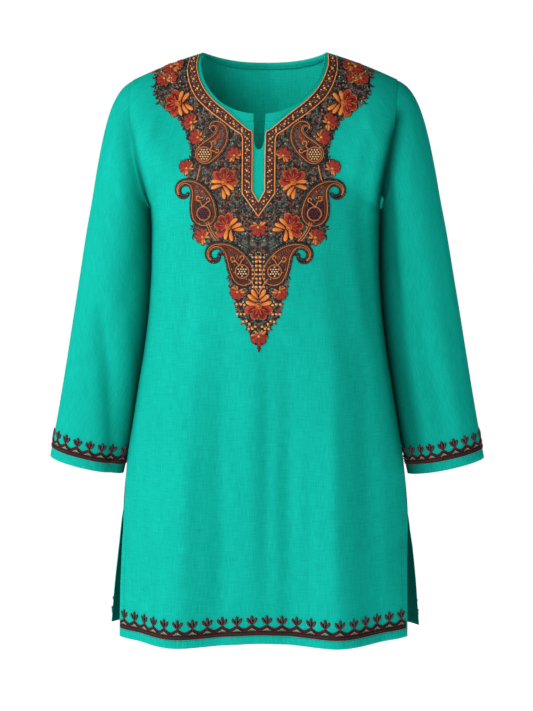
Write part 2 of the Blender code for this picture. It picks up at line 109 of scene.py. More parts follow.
# One row for each soft fold: where its middle line stands at its top and at the hem, how far it
# stands out at both, its half breadth and the height at which it starts
FOLDS = {
    "front": (
        (-0.098, -0.130, 0.0020, 0.0190, 0.042, -0.250),
        (0.106, 0.124, 0.0020, 0.0195, 0.042, -0.250),
        (-0.050, -0.052, -0.0020, -0.0060, 0.030, -0.330),
        (-0.010, -0.008, 0.0015, -0.0060, 0.022, -0.330),
        (0.044, 0.040, -0.0020, -0.0090, 0.034, -0.330),
        (-0.168, -0.182, -0.0010, -0.0050, 0.020, -0.420),
        (0.168, 0.182, -0.0010, -0.0050, 0.020, -0.420),
    ),
    "back": (
        (-0.118, -0.140, 0.0015, 0.0150, 0.040, -0.300),
        (0.112, 0.134, 0.0015, 0.0160, 0.040, -0.300),
        (-0.062, -0.072, -0.0010, -0.0080, 0.030, -0.340),
        (0.000, 0.004, 0.0010, 0.0090, 0.034, -0.360),
        (0.060, 0.068, -0.0010, -0.0080, 0.030, -0.340),
    ),
}
FOLD_GROWTH = 1.25
HEM_TILT = 0.020
HEM_LIFT = 0.0045
HEM_LIFT_BREADTH = 0.065

# One row for each ring of a sleeve: its outer and its inner end, how deep its middle stands, how far
# it reaches forward and back, and how far its inner end is set back
SLEEVE_RINGS = (
    (0.2078, -0.0512, 0.1692, -0.2258, 0.002, 0.0560, 0.0590, 0.003),
    (0.2222, -0.0740, 0.1688, -0.2278, 0.003, 0.0570, 0.0595, 0.010),
    (0.2342, -0.1088, 0.1680, -0.2330, 0.005, 0.0570, 0.0590, 0.017),
    (0.2474, -0.1670, 0.1670, -0.2450, 0.008, 0.0560, 0.0570, 0.021),
    (0.2560, -0.2137, 0.1665, -0.2660, 0.010, 0.0550, 0.0550, 0.022),
    (0.2656, -0.2620, 0.1652, -0.2950, 0.012, 0.0535, 0.0530, 0.022),
    (0.2755, -0.3190, 0.1664, -0.3450, 0.014, 0.0515, 0.0510, 0.020),
    (0.2870, -0.3850, 0.1728, -0.4110, 0.016, 0.0500, 0.0490, 0.016),
    (0.2985, -0.4530, 0.1838, -0.4790, 0.016, 0.0480, 0.0470, 0.011),
    (0.3105, -0.5220, 0.1980, -0.5480, 0.014, 0.0455, 0.0450, 0.005),
    (0.3245, -0.5955, 0.2140, -0.6205, 0.012, 0.0430, 0.0430, 0.000),
)
SET_BACK_POWER = 6.0
CUFF_RISE = {"left": 0.0036, "right": -0.0018}
SLEEVE_RING_GROWTH = 1.35
SLEEVE_RADIUS = 0.052

BORDER_LIFT = 0.0004
BORDER_CROWN = 0.0010
BORDER_UNDER = 0.0003
# Inner and outer edge of the neck border, from the shoulder to its point
BORDER_PLACES = (
    (0.0920, -0.0046, 0.1056, -0.0094),
    (0.0934, -0.0172, 0.1076, -0.0245),
    (0.0899, -0.0330, 0.1036, -0.0440),
    (0.0807, -0.0517, 0.0938, -0.0640),
    (0.0641, -0.0708, 0.0745, -0.0830),
    (0.0454, -0.0856, 0.0531, -0.0987),
    (0.0300, -0.0985, 0.0380, -0.1100),
    (0.0172, -0.1092, 0.0245, -0.1200),
    (0.0090, -0.1150, 0.0235, -0.1280),
    (0.0083, -0.1550, 0.0235, -0.1600),
    (0.0083, -0.1960, 0.0235, -0.1997),
    (0.0000, -0.2107, 0.0000, -0.2326),
)
FACING_HALF_WIDTH = 0.0720
FACING_HEIGHT = 0.0066
FACING_TOP_MARGIN = 0.0018
FACING_CLEARANCE = 0.0007
FACING_WALL = 0.0010
FACING_END = 0.0150
# Painted light: how much brighter the back neck facing's colours are made
FACING_PAINTED_LIGHT = 1.3
SHOULDER_PRESS = 0.0040
SHOULDER_MARGIN = 0.0009
SLIT_SHOWS_Z = -0.662
BACK_OPENING = 0.0024
BACK_SWAY = -0.0032

# Creases

# One row for each crease: where it begins and ends, how far it stands out (or in, if negative)
# and its half breadth. On a panel the places are x and z; on a sleeve they are the turn round it,
# from the outside over the front, in degrees, and z.
PANEL_CREASES = {
    "front": (
        (-0.112, -0.225, -0.150, -0.420, 0.0042, 0.013),
        (-0.136, -0.222, -0.160, -0.345, -0.0038, 0.010),
        (-0.092, -0.270, -0.118, -0.500, -0.0030, 0.014),
        (0.122, -0.228, 0.166, -0.450, 0.0040, 0.012),
        (0.142, -0.205, 0.166, -0.400, -0.0078, 0.013),
        (-0.121, -0.226, -0.151, -0.376, 0.0014, 0.0036),
        (-0.146, -0.234, -0.158, -0.396, 0.0011, 0.0034),
        (-0.098, -0.300, -0.134, -0.470, 0.0009, 0.0040),
        (0.104, -0.262, 0.134, -0.500, -0.0032, 0.014),
        (-0.160, -0.125, -0.146, -0.225, -0.0030, 0.010),
        (0.163, -0.105, 0.143, -0.250, -0.0062, 0.012),
        (-0.148, -0.070, -0.166, -0.150, 0.0018, 0.010),
        (0.148, -0.070, 0.166, -0.150, 0.0018, 0.010),
        (-0.054, -0.400, -0.058, -0.860, -0.0034, 0.014),
        (0.040, -0.400, 0.044, -0.860, -0.0038, 0.014),
        (-0.012, -0.440, -0.012, -0.800, 0.0022, 0.013),
        (0.106, -0.380, 0.114, -0.860, 0.0046, 0.013),
        (-0.100, -0.430, -0.116, -0.860, 0.0030, 0.014),
        (0.146, -0.380, 0.158, -0.860, -0.0084, 0.015),
        (-0.136, -0.400, -0.152, -0.860, -0.0026, 0.012),
        (0.176, -0.470, 0.186, -0.850, 0.0026, 0.010),
        (0.072, -0.560, 0.074, -0.860, -0.0020, 0.010),
        (0.012, -0.370, 0.010, -0.880, -0.0040, 0.010),
    ),
    "back": (
        (-0.118, -0.230, -0.150, -0.400, 0.0040, 0.013),
        (0.120, -0.230, 0.154, -0.390, 0.0038, 0.013),
        (-0.060, -0.120, -0.080, -0.330, -0.0028, 0.016),
        (0.056, -0.120, 0.082, -0.340, -0.0028, 0.016),
        (-0.030, -0.400, -0.036, -0.840, 0.0032, 0.014),
        (0.034, -0.420, 0.030, -0.850, -0.0030, 0.013),
        (-0.100, -0.440, -0.112, -0.850, -0.0034, 0.013),
        (0.096, -0.420, 0.108, -0.850, 0.0036, 0.013),
        (-0.160, -0.500, -0.180, -0.850, 0.0030, 0.012),
        (0.160, -0.500, 0.180, -0.850, -0.0030, 0.012),
    ),
}
SLEEVE_CREASES = {
    "right": (
        (52, -0.065, 150, -0.235, -0.0046, 0.011),
        (34, -0.090, 118, -0.245, 0.0022, 0.012),
        (75, -0.060, 140, -0.150, 0.0024, 0.010),
        (140, -0.255, 96, -0.420, -0.0022, 0.011),
        (70, -0.340, 156, -0.680, -0.0078, 0.0105),
        (100, -0.330, 176, -0.640, 0.0030, 0.010),
        (60, -0.330, 66, -0.600, 0.0018, 0.013),
        (36, -0.180, 44, -0.430, -0.0012, 0.012),
        (44, -0.380, 60, -0.620, 0.0016, 0.010),
        (230, -0.120, 200, -0.240, -0.0036, 0.012),
        (250, -0.300, 264, -0.600, -0.0026, 0.012),
        (226, -0.340, 236, -0.600, 0.0022, 0.011),
        (300, -0.160, 290, -0.420, 0.0018, 0.014),
    ),
    "left": (
        (56, -0.065, 152, -0.235, -0.0044, 0.011),
        (36, -0.092, 120, -0.245, 0.0022, 0.012),
        (78, -0.060, 142, -0.150, 0.0022, 0.010),
        (142, -0.260, 104, -0.430, -0.0022, 0.011),
        (94, -0.310, 78, -0.590, -0.0030, 0.012),
        (116, -0.340, 102, -0.600, 0.0024, 0.010),
        (58, -0.360, 62, -0.600, 0.0016, 0.013),
        (40, -0.200, 46, -0.440, -0.0012, 0.012),
        (148, -0.430, 134, -0.610, -0.0024, 0.009),
        (232, -0.120, 202, -0.240, -0.0034, 0.012),
        (252, -0.320, 262, -0.600, -0.0024, 0.012),
        (228, -0.340, 240, -0.600, 0.0020, 0.011),
        (302, -0.180, 292, -0.420, 0.0016, 0.014),
        (132, -0.080, 136, -0.640, -0.0085, 0.019),
        (182, -0.100, 182, -0.420, 0.0012, 0.010),
        (180, -0.450, 180, -0.700, 0.0027, 0.012),
    ),
}

# Tone of the cloth, with painted light and painted shade

# Painted light and painted shade inside the garment: the tone starts above full at the neck, as painted
# light, and falls by steps of painted shade: how much, from what height down, and over what height
INSIDE_NECK_PAINTED_LIGHT = 1.74
INSIDE_PAINTED_SHADE_STEPS = ((0.98, -0.10, 0.16), (0.58, -0.30, 0.30))
HEM_TURN = 0.0115
HEM_TURN_FADE = 0.002
# Painted shade where sleeve and body lie close: the cloth's tone is lower there, how much and over how
# many degrees of the sleeve's ring, and how much beside the armhole seam
PAINTED_HOLLOW_SHADE = {"left": (0.72, 52.0, 0.80), "right": (0.60, 40.0, 0.25)}
PAINTED_SHADE_MIDDLE = 170.0
PAINTED_SHADE_BEHIND = 18.0
SEAM_SHADE_FRONT_END = 190.0
SEAM_PAINTED_SHADE_REACH = 0.017
# Rings beside the armhole over which the inner face takes the same painted shade
PAINTED_SHADE_SEAM_RINGS = 9
# The same painted shade at the panels' edges, and along the armhole on the wearer's left
EDGE_SHADE_DEPTH = 0.40
ARMHOLE_SHADE_DEPTH = 0.80
EDGE_SHADE_BREADTH = 0.007


def smoothstep(t):
    """0 below 0, 1 above 1, and between them t squared times 3 minus 2 t."""
    t = np.clip(t, 0.0, 1.0)
    return t * t * (3.0 - 2.0 * t)


def curve_through(at, knots, values):
    """A cubic between each two knots, whose slope at a knot is the harmonic mean of the slopes
    beside it, or nothing where they differ in sign, so that it never overshoots."""
    knots = np.asarray(knots, float)
    values = np.asarray(values, float)
    step = np.diff(knots)
    slope = np.diff(values) / step
    tangent = np.zeros_like(values)
    same_way = slope[1:] * slope[:-1] > 0
    total = np.where(same_way, slope[1:] + slope[:-1], 1.0)
    tangent[1:-1] = np.where(same_way, 2.0 * slope[1:] * slope[:-1] / total, 0.0)
    tangent[0] = slope[0]
    tangent[-1] = slope[-1]
    at = np.clip(np.asarray(at, float), knots[0], knots[-1])
    i = np.clip(np.searchsorted(knots, at, side="right") - 1, 0, len(step) - 1)
    t = (at - knots[i]) / step[i]
    rise = values[i + 1] - values[i]
    start = tangent[i] * step[i]
    end = tangent[i + 1] * step[i]
    return values[i] + t * (start + t * (3 * rise - 2 * start - end + t * (start + end - 2 * rise)))


def distances(line):
    """Length along a line to each of its points: the sum of the steps before it."""
    return np.concatenate([[0.0], np.cumsum(np.linalg.norm(np.diff(line, axis=0), axis=1))])


def points_at(wanted, at, line):
    """Points of a flat line at the wanted lengths, mixed in proportion between its own."""
    return np.stack([np.interp(wanted, at, line[:, i]) for i in (0, 1)], axis=-1)


def level(z, column):
    """One column of the body's table at any height, by the smooth curve through its rows."""
    rows = np.array(BODY_LEVELS)
    return curve_through(z, rows[:, 0], rows[:, BODY_COLUMNS.index(column)])


def shoulder_ridge(x, neck_rise):
    """Height of the shoulder line: a parabola falling from the neck point, and a straight rise
    inside it."""
    out = np.abs(x) - NECK_HALF_WIDTH
    slope = -SHOULDER_SLOPE * out - SHOULDER_BEND * out * out
    return np.where(out > 0, slope, -neck_rise * out)


def section(s):
    """Depth over the share s of the half width: a superellipse."""
    return (1.0 - np.clip(s, 0.0, 1.0) ** BODY_FLATNESS) ** (1.0 / SIDE_TURN)


def fold_offset(x, z, folds):
    """Sum of bell-shaped folds, whose middle line moves in proportion from their top to the hem,
    and whose height starts with a smooth step and grows as a power of the way down."""
    total = np.zeros(np.broadcast(x, z).shape)
    for top_x, hem_x, top_out, hem_out, breadth, start_z in folds:
        down = np.clip((start_z - z) / (start_z - HEM_Z), 0.0, 1.1)
        middle = top_x + (hem_x - top_x) * down
        out = top_out * smoothstep(down * 6.0) + (hem_out - top_out) * down**FOLD_GROWTH
        total += out * np.exp(-(((x - middle) / breadth) ** 2))
    return total


def crease_offset(a, b, creases):
    """Sum of creases: each is a bell across the line between its ends, faded by half a sine wave
    along it."""
    total = np.zeros(np.broadcast(a, b).shape)
    for a0, b0, a1, b1, out, breadth in creases:
        length2 = (a1 - a0) ** 2 + (b1 - b0) ** 2
        along = ((a - a0) * (a1 - a0) + (b - b0) * (b1 - b0)) / length2
        across = ((a - a0) * (b1 - b0) - (b - b0) * (a1 - a0)) / math.sqrt(length2)
        fade = np.sin(math.pi * np.clip(along, 0.0, 1.0)) ** 0.8
        total += out * fade * np.exp(-((across / breadth) ** 2))
    return total


def surface_y(x, z, side):
    """Depth of a panel's outer face over its front view: the body's section, opened out by a bell
    beside the armhole and the slit, rolled over the shoulder as a superellipse, with its folds and
    creases on it and a narrow bell taken off along the armhole seam."""
    widest = level(z, side + "_widest")
    edge_x = level(z, side + "_edge_x")
    middle = level(z, side + "_middle_y")
    start = ROLL_START[side]
    ridge = shoulder_ridge(x, NECK_RISE[side])
    h = np.clip((z - start) / (ridge - start), 0.0, 1.0)
    roll = np.sqrt(1.0 - h**ROLL_POWER)
    to_edge = np.clip(1.0 - np.abs(x) / edge_x, 0.0, 1.0)
    at_edge = level(z, side + "_edge_y") - middle * section(edge_x / widest)
    from_split = np.minimum(np.abs(z - UNDERARM_Z), np.abs(z - SLIT_TOP_Z))
    breadth = np.clip(EDGE_SPREAD * from_split, EDGE_BREADTH_LEAST, EDGE_BREADTH_MOST)
    opened = at_edge * np.exp(-((to_edge * edge_x / breadth) ** 2))
    folds = fold_offset(x, z, FOLDS[side]) + crease_offset(x, z, PANEL_CREASES[side])
    above = smoothstep((z - UNDERARM_Z - 0.004) / 0.03)
    ditch = SEAM_DITCH * above * np.exp(-((to_edge * edge_x / SEAM_BREADTH) ** 2))
    depth = (middle * section(np.abs(x) / widest) + opened) * roll + folds * smoothstep(to_edge * 5.0)
    depth = np.maximum(depth - ditch * roll, 0.0)
    return (-1.0 if side == "front" else 1.0) * (depth + HALF_SEAM)


def swayed(x, z, side):
    """The back's skirt moved sideways by a smooth step over its height, and its edges moved out
    by a power of the share of the breadth, where the slits open."""
    if side == "front":
        return x
    share = np.clip(np.abs(x) / level(z, "back_edge_x"), 0.0, 1.0)
    opened = BACK_OPENING * smoothstep((SLIT_SHOWS_Z - z) / 0.030) * smoothstep((z - HEM_Z) / 0.16)
    sway = BACK_SWAY * smoothstep((SLIT_SHOWS_Z - z) / 0.19)
    return x + sway + np.sign(x) * opened * share**8


def hem_height(x, side):
    """The hem's height: a straight tilt from side to side, and on the front a bell at its
    middle."""
    if side == "back":
        return HEM_Z + 0.5 * HEM_TILT * x
    return HEM_Z + HEM_TILT * x + HEM_LIFT * np.exp(-((x / HEM_LIFT_BREADTH) ** 2))


def neckline_z(x):
    """Height of the front's neckline: a superellipse over its half width."""
    share = np.clip(np.abs(x) / NECK_HALF_WIDTH, 0.0, 1.0)
    return -NECK_DROP_FRONT * (1.0 - share**NECK_SQUARENESS) ** (1.0 / NECK_SQUARENESS)


def back_neckline_z(x):
    """Height of the back's neckline: its drop times one less a power of the share of the half
    width."""
    return -NECK_DROP_BACK * (1.0 - (np.abs(x) / NECK_HALF_WIDTH) ** BACK_NECK_SQUARENESS)


def top_edge(side):
    """Half of a panel's upper edge, one point a column: a round foot, a straight slit and a
    superellipse for the front's neck, or one curve for the back's, then the shoulder line."""
    share = np.linspace(0.0, 1.0, 29)[1:]
    seam_x = NECK_HALF_WIDTH + (SHOULDER_TIP_X - NECK_HALF_WIDTH) * (1.0 - (1.0 - share) ** 1.6)
    seam_z = shoulder_ridge(seam_x, 0.0)
    if side == "back":
        neck_x = NECK_HALF_WIDTH * np.sin(np.linspace(0.0, math.pi / 2, 31))
        return np.concatenate([neck_x, seam_x]), np.concatenate([back_neckline_z(neck_x), seam_z])
    turn = np.linspace(0.0, math.pi / 2, 7)
    foot = KEYHOLE_STRAIGHT_Z - KEYHOLE_BOTTOM_Z
    foot_x = KEYHOLE_LOW_HALF_WIDTH * np.sin(turn)
    foot_z = KEYHOLE_STRAIGHT_Z - foot * np.cos(turn)
    up = np.linspace(0.0, 1.0, 9)[1:]
    slit_x = KEYHOLE_LOW_HALF_WIDTH + (KEYHOLE_HALF_WIDTH - KEYHOLE_LOW_HALF_WIDTH) * up
    slit_z = KEYHOLE_STRAIGHT_Z + (neckline_z(KEYHOLE_HALF_WIDTH) - KEYHOLE_STRAIGHT_Z) * up
    first = math.asin((KEYHOLE_HALF_WIDTH / NECK_HALF_WIDTH) ** (NECK_SQUARENESS / 2))
    turn = np.linspace(first, math.pi / 2, 31)[1:]
    neck_x = NECK_HALF_WIDTH * np.sin(turn) ** (2 / NECK_SQUARENESS)
    neck_z = -NECK_DROP_FRONT * np.cos(turn).clip(0.0) ** (2 / NECK_SQUARENESS)
    x = np.concatenate([foot_x, slit_x, neck_x, seam_x])
    return x, np.concatenate([foot_z, slit_z, neck_z, seam_z])


ARMHOLE_STEPS = 76
LOWER_STEPS = 132


def panel_grid(side):
    """Outer face of a panel, rows from the hem up and columns from side to side. Columns are
    shares of the half width, a sine at the underarm, moved smoothly to the upper edge's points."""
    top_x, top_z = top_edge(side)
    even = np.sin(math.pi / 2 * np.linspace(0.0, 1.0, len(top_x)))
    top_share = top_x / level(top_z, side + "_edge_x")
    up = (1.0 - np.cos(math.pi * np.linspace(0.0, 1.0, ARMHOLE_STEPS + 1))) / 2
    upper_z = UNDERARM_Z + (top_z[None, :] - UNDERARM_Z) * up[:, None]
    lean = smoothstep(up)[:, None]
    upper_share = even[None, :] * (1.0 - lean) + top_share[None, :] * lean
    upper_x = upper_share * level(upper_z, side + "_edge_x")
    upper_x = np.concatenate([-upper_x[:, :0:-1], upper_x], axis=1)
    upper_z = np.concatenate([upper_z[:, :0:-1], upper_z], axis=1)
    across = np.concatenate([-even[:0:-1], even])
    down = np.linspace(1.0, 0.0, LOWER_STEPS + 1)[:-1, None]
    hem = hem_height(across * level(HEM_Z, side + "_edge_x"), side)[None, :]
    lower_z = UNDERARM_Z + (hem - UNDERARM_Z) * down
    lower_x = across[None, :] * level(lower_z, side + "_edge_x")
    x = np.concatenate([lower_x, upper_x])
    z = np.concatenate([lower_z, upper_z])
    return np.stack([swayed(x, z, side), surface_y(x, z, side), z], axis=-1)


def grid_normals(grid, around):
    """Unit cross products of the differences along a grid's columns and rows."""
    rows = np.gradient(grid, axis=0)
    if around:
        columns = (np.roll(grid, -1, axis=1) - np.roll(grid, 1, axis=1)) / 2
    else:
        columns = np.gradient(grid, axis=1)
    normal = np.cross(columns, rows)
    return normal / np.maximum(np.linalg.norm(normal, axis=-1, keepdims=True), 1e-12)


def inner_face(grid, side):
    """The outer face less the wall times its unit normal, which is turned into the seam's plane at
    a side seam, or points straight sideways where too little of it lies in that plane."""
    outward = grid_normals(grid, False)
    outward *= np.sign(outward[..., 1:2]) * (-1.0 if side == "front" else 1.0)
    at_seam = np.abs(grid[..., 1]) < 1.5 * HALF_SEAM
    along = outward * (1.0, 0.0, 1.0)
    size = np.linalg.norm(along, axis=-1, keepdims=True)
    nothing = np.zeros(size.shape[:2])
    sideways = np.stack([np.sign(grid[..., 0]), nothing, nothing], axis=-1)
    along = np.where(size > 0.2, along / np.maximum(size, 0.2), sideways)
    outward[at_seam] = along[at_seam]
    return grid - WALL * outward


def wall_faces(rows, columns, around):
    """Quads of a wall's outer face, its inner face, whose points follow, and the rims."""
    outer = np.arange(rows * columns).reshape(rows, columns)
    if around:
        outer = np.concatenate([outer, outer[:, :1]], axis=1)
    inner = outer + rows * columns

    def strips(a, b, c, d):
        """Quads whose corners are four equal arrays of points."""
        return np.stack([a, b, c, d], axis=-1).reshape(-1, 4)

    faces = [
        strips(outer[:-1, :-1], outer[:-1, 1:], outer[1:, 1:], outer[1:, :-1]),
        strips(inner[:-1, :-1], inner[1:, :-1], inner[1:, 1:], inner[:-1, 1:]),
        strips(outer[0, :-1], inner[0, :-1], inner[0, 1:], outer[0, 1:]),
        strips(outer[-1, :-1], outer[-1, 1:], inner[-1, 1:], inner[-1, :-1]),
    ]
    if not around:
        faces.append(strips(outer[:-1, 0], outer[1:, 0], inner[1:, 0], inner[:-1, 0]))
        faces.append(strips(outer[:-1, -1], inner[:-1, -1], inner[1:, -1], outer[1:, -1]))
    return np.concatenate(faces)


def cloth_uv(grid):
    """Metres across and up the cloth: sums of the distances between a grid's points."""
    across = np.linalg.norm(np.diff(grid, axis=1), axis=-1)
    u = np.concatenate([np.zeros((grid.shape[0], 1)), np.cumsum(across, axis=1)], axis=1)
    u -= u[:, u.shape[1] // 2][:, None]
    upward = np.linalg.norm(np.diff(grid, axis=0), axis=-1)
    v = np.concatenate([np.zeros((1, grid.shape[1])), np.cumsum(upward, axis=0)])
    return np.stack([u, v], axis=-1)


def make_mesh(name, points, faces, uv, finish, colours=None, flip=False):
    """A mesh from arrays of points, faces, a UV for each point and, if given, a colour for each."""
    mesh = bpy.data.meshes.new(name)
    faces = faces[:, ::-1] if flip else faces
    sides = faces.shape[1]
    mesh.vertices.add(len(points))
    mesh.vertices.foreach_set("co", np.asarray(points, np.float32).ravel())
    mesh.loops.add(faces.size)
    mesh.loops.foreach_set("vertex_index", faces.astype(np.int32).ravel())
    mesh.polygons.add(len(faces))
    mesh.polygons.foreach_set("loop_start", np.arange(0, faces.size, sides, dtype=np.int32))
    mesh.polygons.foreach_set("use_smooth", np.ones(len(faces), bool))
    mesh.update(calc_edges=True)
    layer = mesh.uv_layers.new(name="Cloth")
    layer.data.foreach_set("uv", np.asarray(uv, np.float32)[faces.ravel()].ravel())
    if colours is not None:
        # On the cloth this attribute holds painted light and shade, on thread and beads their colour
        paint = mesh.color_attributes.new("colour_and_painted_light", "FLOAT_COLOR", "POINT")
        rgba = np.concatenate([colours, np.ones((len(colours), 1))], axis=1)
        paint.data.foreach_set("color", rgba.astype(np.float32).ravel())
    mesh.validate()
    mesh.materials.append(finish)
    piece = bpy.data.objects.new(name, mesh)
    bpy.context.scene.collection.objects.link(piece)
    return piece


def make_wall(name, outer, inner, finish, around=False, tone=None):
    """A closed shell from its outer and inner grids, turned so that its faces point outwards: the
    normal at one place goes the same way as from the inner to the outer face. The tone of both faces,
    if given, holds painted light and shade, and goes into the colour attribute that the cloth's finish
    reads."""
    points = np.concatenate([outer.reshape(-1, 3), inner.reshape(-1, 3)])
    uv = cloth_uv(np.concatenate([outer, outer[:, :1]], axis=1) if around else outer)
    if around:
        uv = uv[:, :-1]
    uv = np.concatenate([uv.reshape(-1, 2)] * 2)
    rows, columns = outer.shape[:2]
    place = (rows // 2, columns // 4)
    flip = float(grid_normals(outer, around)[place] @ (outer[place] - inner[place])) < 0
    faces = wall_faces(rows, columns, around)
    colours = None if tone is None else np.concatenate([side.reshape(-1, 3) for side in tone])
    return make_mesh(name, points, faces, uv, finish, colours=colours, flip=flip)


def cloth_tone_with_painted_light(z, height):
    """Tone of the outer and of the inner face: the first part multiplies the dye, full outside; inside
    it is painted light at the neck, more than full, standing for light that comes through the cloth
    there, and painted shade lower down, falling by smooth steps over the height; the second is 1 in the
    turned hem and 0 above it; the third is not used."""
    band = 1.0 - smoothstep((height - HEM_TURN) / HEM_TURN_FADE)
    full = np.ones(z.shape)
    inside = INSIDE_NECK_PAINTED_LIGHT * full
    for fall, start, span in INSIDE_PAINTED_SHADE_STEPS:
        inside = inside - fall * smoothstep((start - z) / span)
    return np.stack([full, band, full], axis=-1), np.stack([inside, band, full], axis=-1)


def from_first_ring(grid):
    """Length along each line of a sleeve from the armhole: the sum of the distances between the
    rings' points."""
    return np.cumsum(np.linalg.norm(np.diff(grid, axis=0, prepend=grid[:1]), axis=-1), axis=0)


def hollow_painted_shade(grid, side):
    """Painted shade on a sleeve's outer face: one less a bell round the part of each ring that lies
    close to the body, broad towards the front and narrow towards the back, let in below the seam, times
    one less a bell from the front of the armhole seam."""
    depth, breadth, at_seam = PAINTED_HOLLOW_SHADE[side]
    z = grid[..., 2]
    turn = 360.0 * np.arange(grid.shape[1]) / grid.shape[1]
    from_inside = turn - PAINTED_SHADE_MIDDLE
    bell = np.exp(-((from_inside / np.where(from_inside > 0.0, PAINTED_SHADE_BEHIND, breadth)) ** 2))
    hollow_shade = 1.0 - depth * bell[None, :] * smoothstep((-0.08 - z) / 0.08)
    front = smoothstep((-0.070 - z) / 0.030) * (turn < SEAM_SHADE_FRONT_END)
    return hollow_shade * (1.0 - at_seam * np.exp(-((from_first_ring(grid) / SEAM_PAINTED_SHADE_REACH) ** 2)) * front)


def edge_painted_shade(grid, side):
    """Painted shade on a panel's outer face: one less a bell from its edge inwards, where a sleeve
    hangs close beside it, deeper along the armhole on the wearer's left."""
    x, z = grid[..., 0], grid[..., 2]
    to_edge = level(z, side + "_edge_x") - np.abs(x)
    beside = smoothstep((-0.08 - z) / 0.05) * (1.0 - smoothstep((-0.54 - z) / 0.10))
    armhole = smoothstep((z - UNDERARM_Z + 0.010) / 0.020) * (x > 0.0)
    depth = EDGE_SHADE_DEPTH + (ARMHOLE_SHADE_DEPTH - EDGE_SHADE_DEPTH) * armhole
    return 1.0 - depth * np.exp(-((to_edge / EDGE_SHADE_BREADTH) ** 2)) * beside


def sleeve_loop(front, back, mirror):
    """The armhole from the shoulder tip down the front and up the back."""
    column = -1 if mirror > 0 else 0
    down = front[LOWER_STEPS:, column][::-1].copy()
    up = back[LOWER_STEPS:, column][1:-1]
    down[0, 1] = 0.0
    down[-1, 1] = 0.0
    return np.concatenate([down, up])


def sleeve_grid(front, back, mirror, steps=124):
    """Outer face of a sleeve, rings from the armhole to the cuff. Each ring is an ellipse whose
    ends and reach come from a smooth curve through the table, its inner end set back by a power
    of half of one less the cosine. Its creases then move it along its normal, let in over the
    first rings, less a narrow bell beside the armhole seam."""
    side = "left" if mirror > 0 else "right"
    loop = sleeve_loop(front, back, mirror)
    count = len(loop)
    turn = 2 * math.pi * np.arange(count) / count
    loop[:, 0] += mirror * SLEEVE_GAP
    rings = [loop]
    inwards = ((1.0 - np.cos(turn)) / 2) ** SET_BACK_POWER
    rises = CUFF_RISE[side] * smoothstep(np.linspace(0.0, 1.0, len(SLEEVE_RINGS)))
    for row, rise in zip(SLEEVE_RINGS, rises):
        outer_x, outer_z, inner_x, inner_z, middle_y, reach_front, reach_back, set_back = row
        middle = np.array([(outer_x + inner_x) / 2, middle_y, (outer_z + inner_z) / 2])
        half = np.array([(outer_x - inner_x) / 2, 0.0, (outer_z - inner_z) / 2])
        ring = middle + np.cos(turn)[:, None] * half
        ring[:, 1] += np.where(np.sin(turn) > 0, -reach_front, reach_back) * np.abs(np.sin(turn))
        ring[:, 1] += set_back * inwards
        ring[:, 2] += rise
        ring[:, 0] *= mirror
        rings.append(ring)
    rings = np.array(rings)
    at = distances(rings[:, 0])
    wanted = at[-1] * np.linspace(0.0, 1.0, steps + 1) ** SLEEVE_RING_GROWTH
    flat = rings.reshape(len(rings), -1)
    smooth = np.stack([curve_through(wanted, at, flat[:, i]) for i in range(flat.shape[1])], axis=1)
    grid = smooth.reshape(len(wanted), count, 3)
    normal = sleeve_normals(grid)
    creases = [(math.radians(a0) * SLEEVE_RADIUS, b0, math.radians(a1) * SLEEVE_RADIUS, b1, *form)
               for a0, b0, a1, b1, *form in SLEEVE_CREASES[side]]
    round_ring = np.broadcast_to(turn * SLEEVE_RADIUS, grid.shape[:2])
    moved = crease_offset(round_ring, grid[..., 2], creases)
    held = smoothstep(np.linspace(0.0, 1.0, steps + 1) * 9.0)[:, None]
    from_seam = from_first_ring(grid)
    ditch = SEAM_DITCH * np.exp(-((from_seam / SEAM_BREADTH) ** 2)) * smoothstep(from_seam / 0.0006)
    return grid + (moved * held - ditch)[..., None] * normal


def sleeve_normals(grid):
    """Unit cross products of the grid, all turned one way so that they point out of the tube."""
    normal = grid_normals(grid, True)
    towards = grid - grid.mean(axis=1, keepdims=True)
    return normal * np.sign((normal * towards).sum())


# Colours and finishes


def linear(red, green, blue):
    """Scene colour of an sRGB colour with parts up to 255."""
    c = np.array([red, green, blue]) / 255.0
    return tuple(np.where(c <= 0.04045, c / 12.92, ((c + 0.055) / 1.055) ** 2.4))


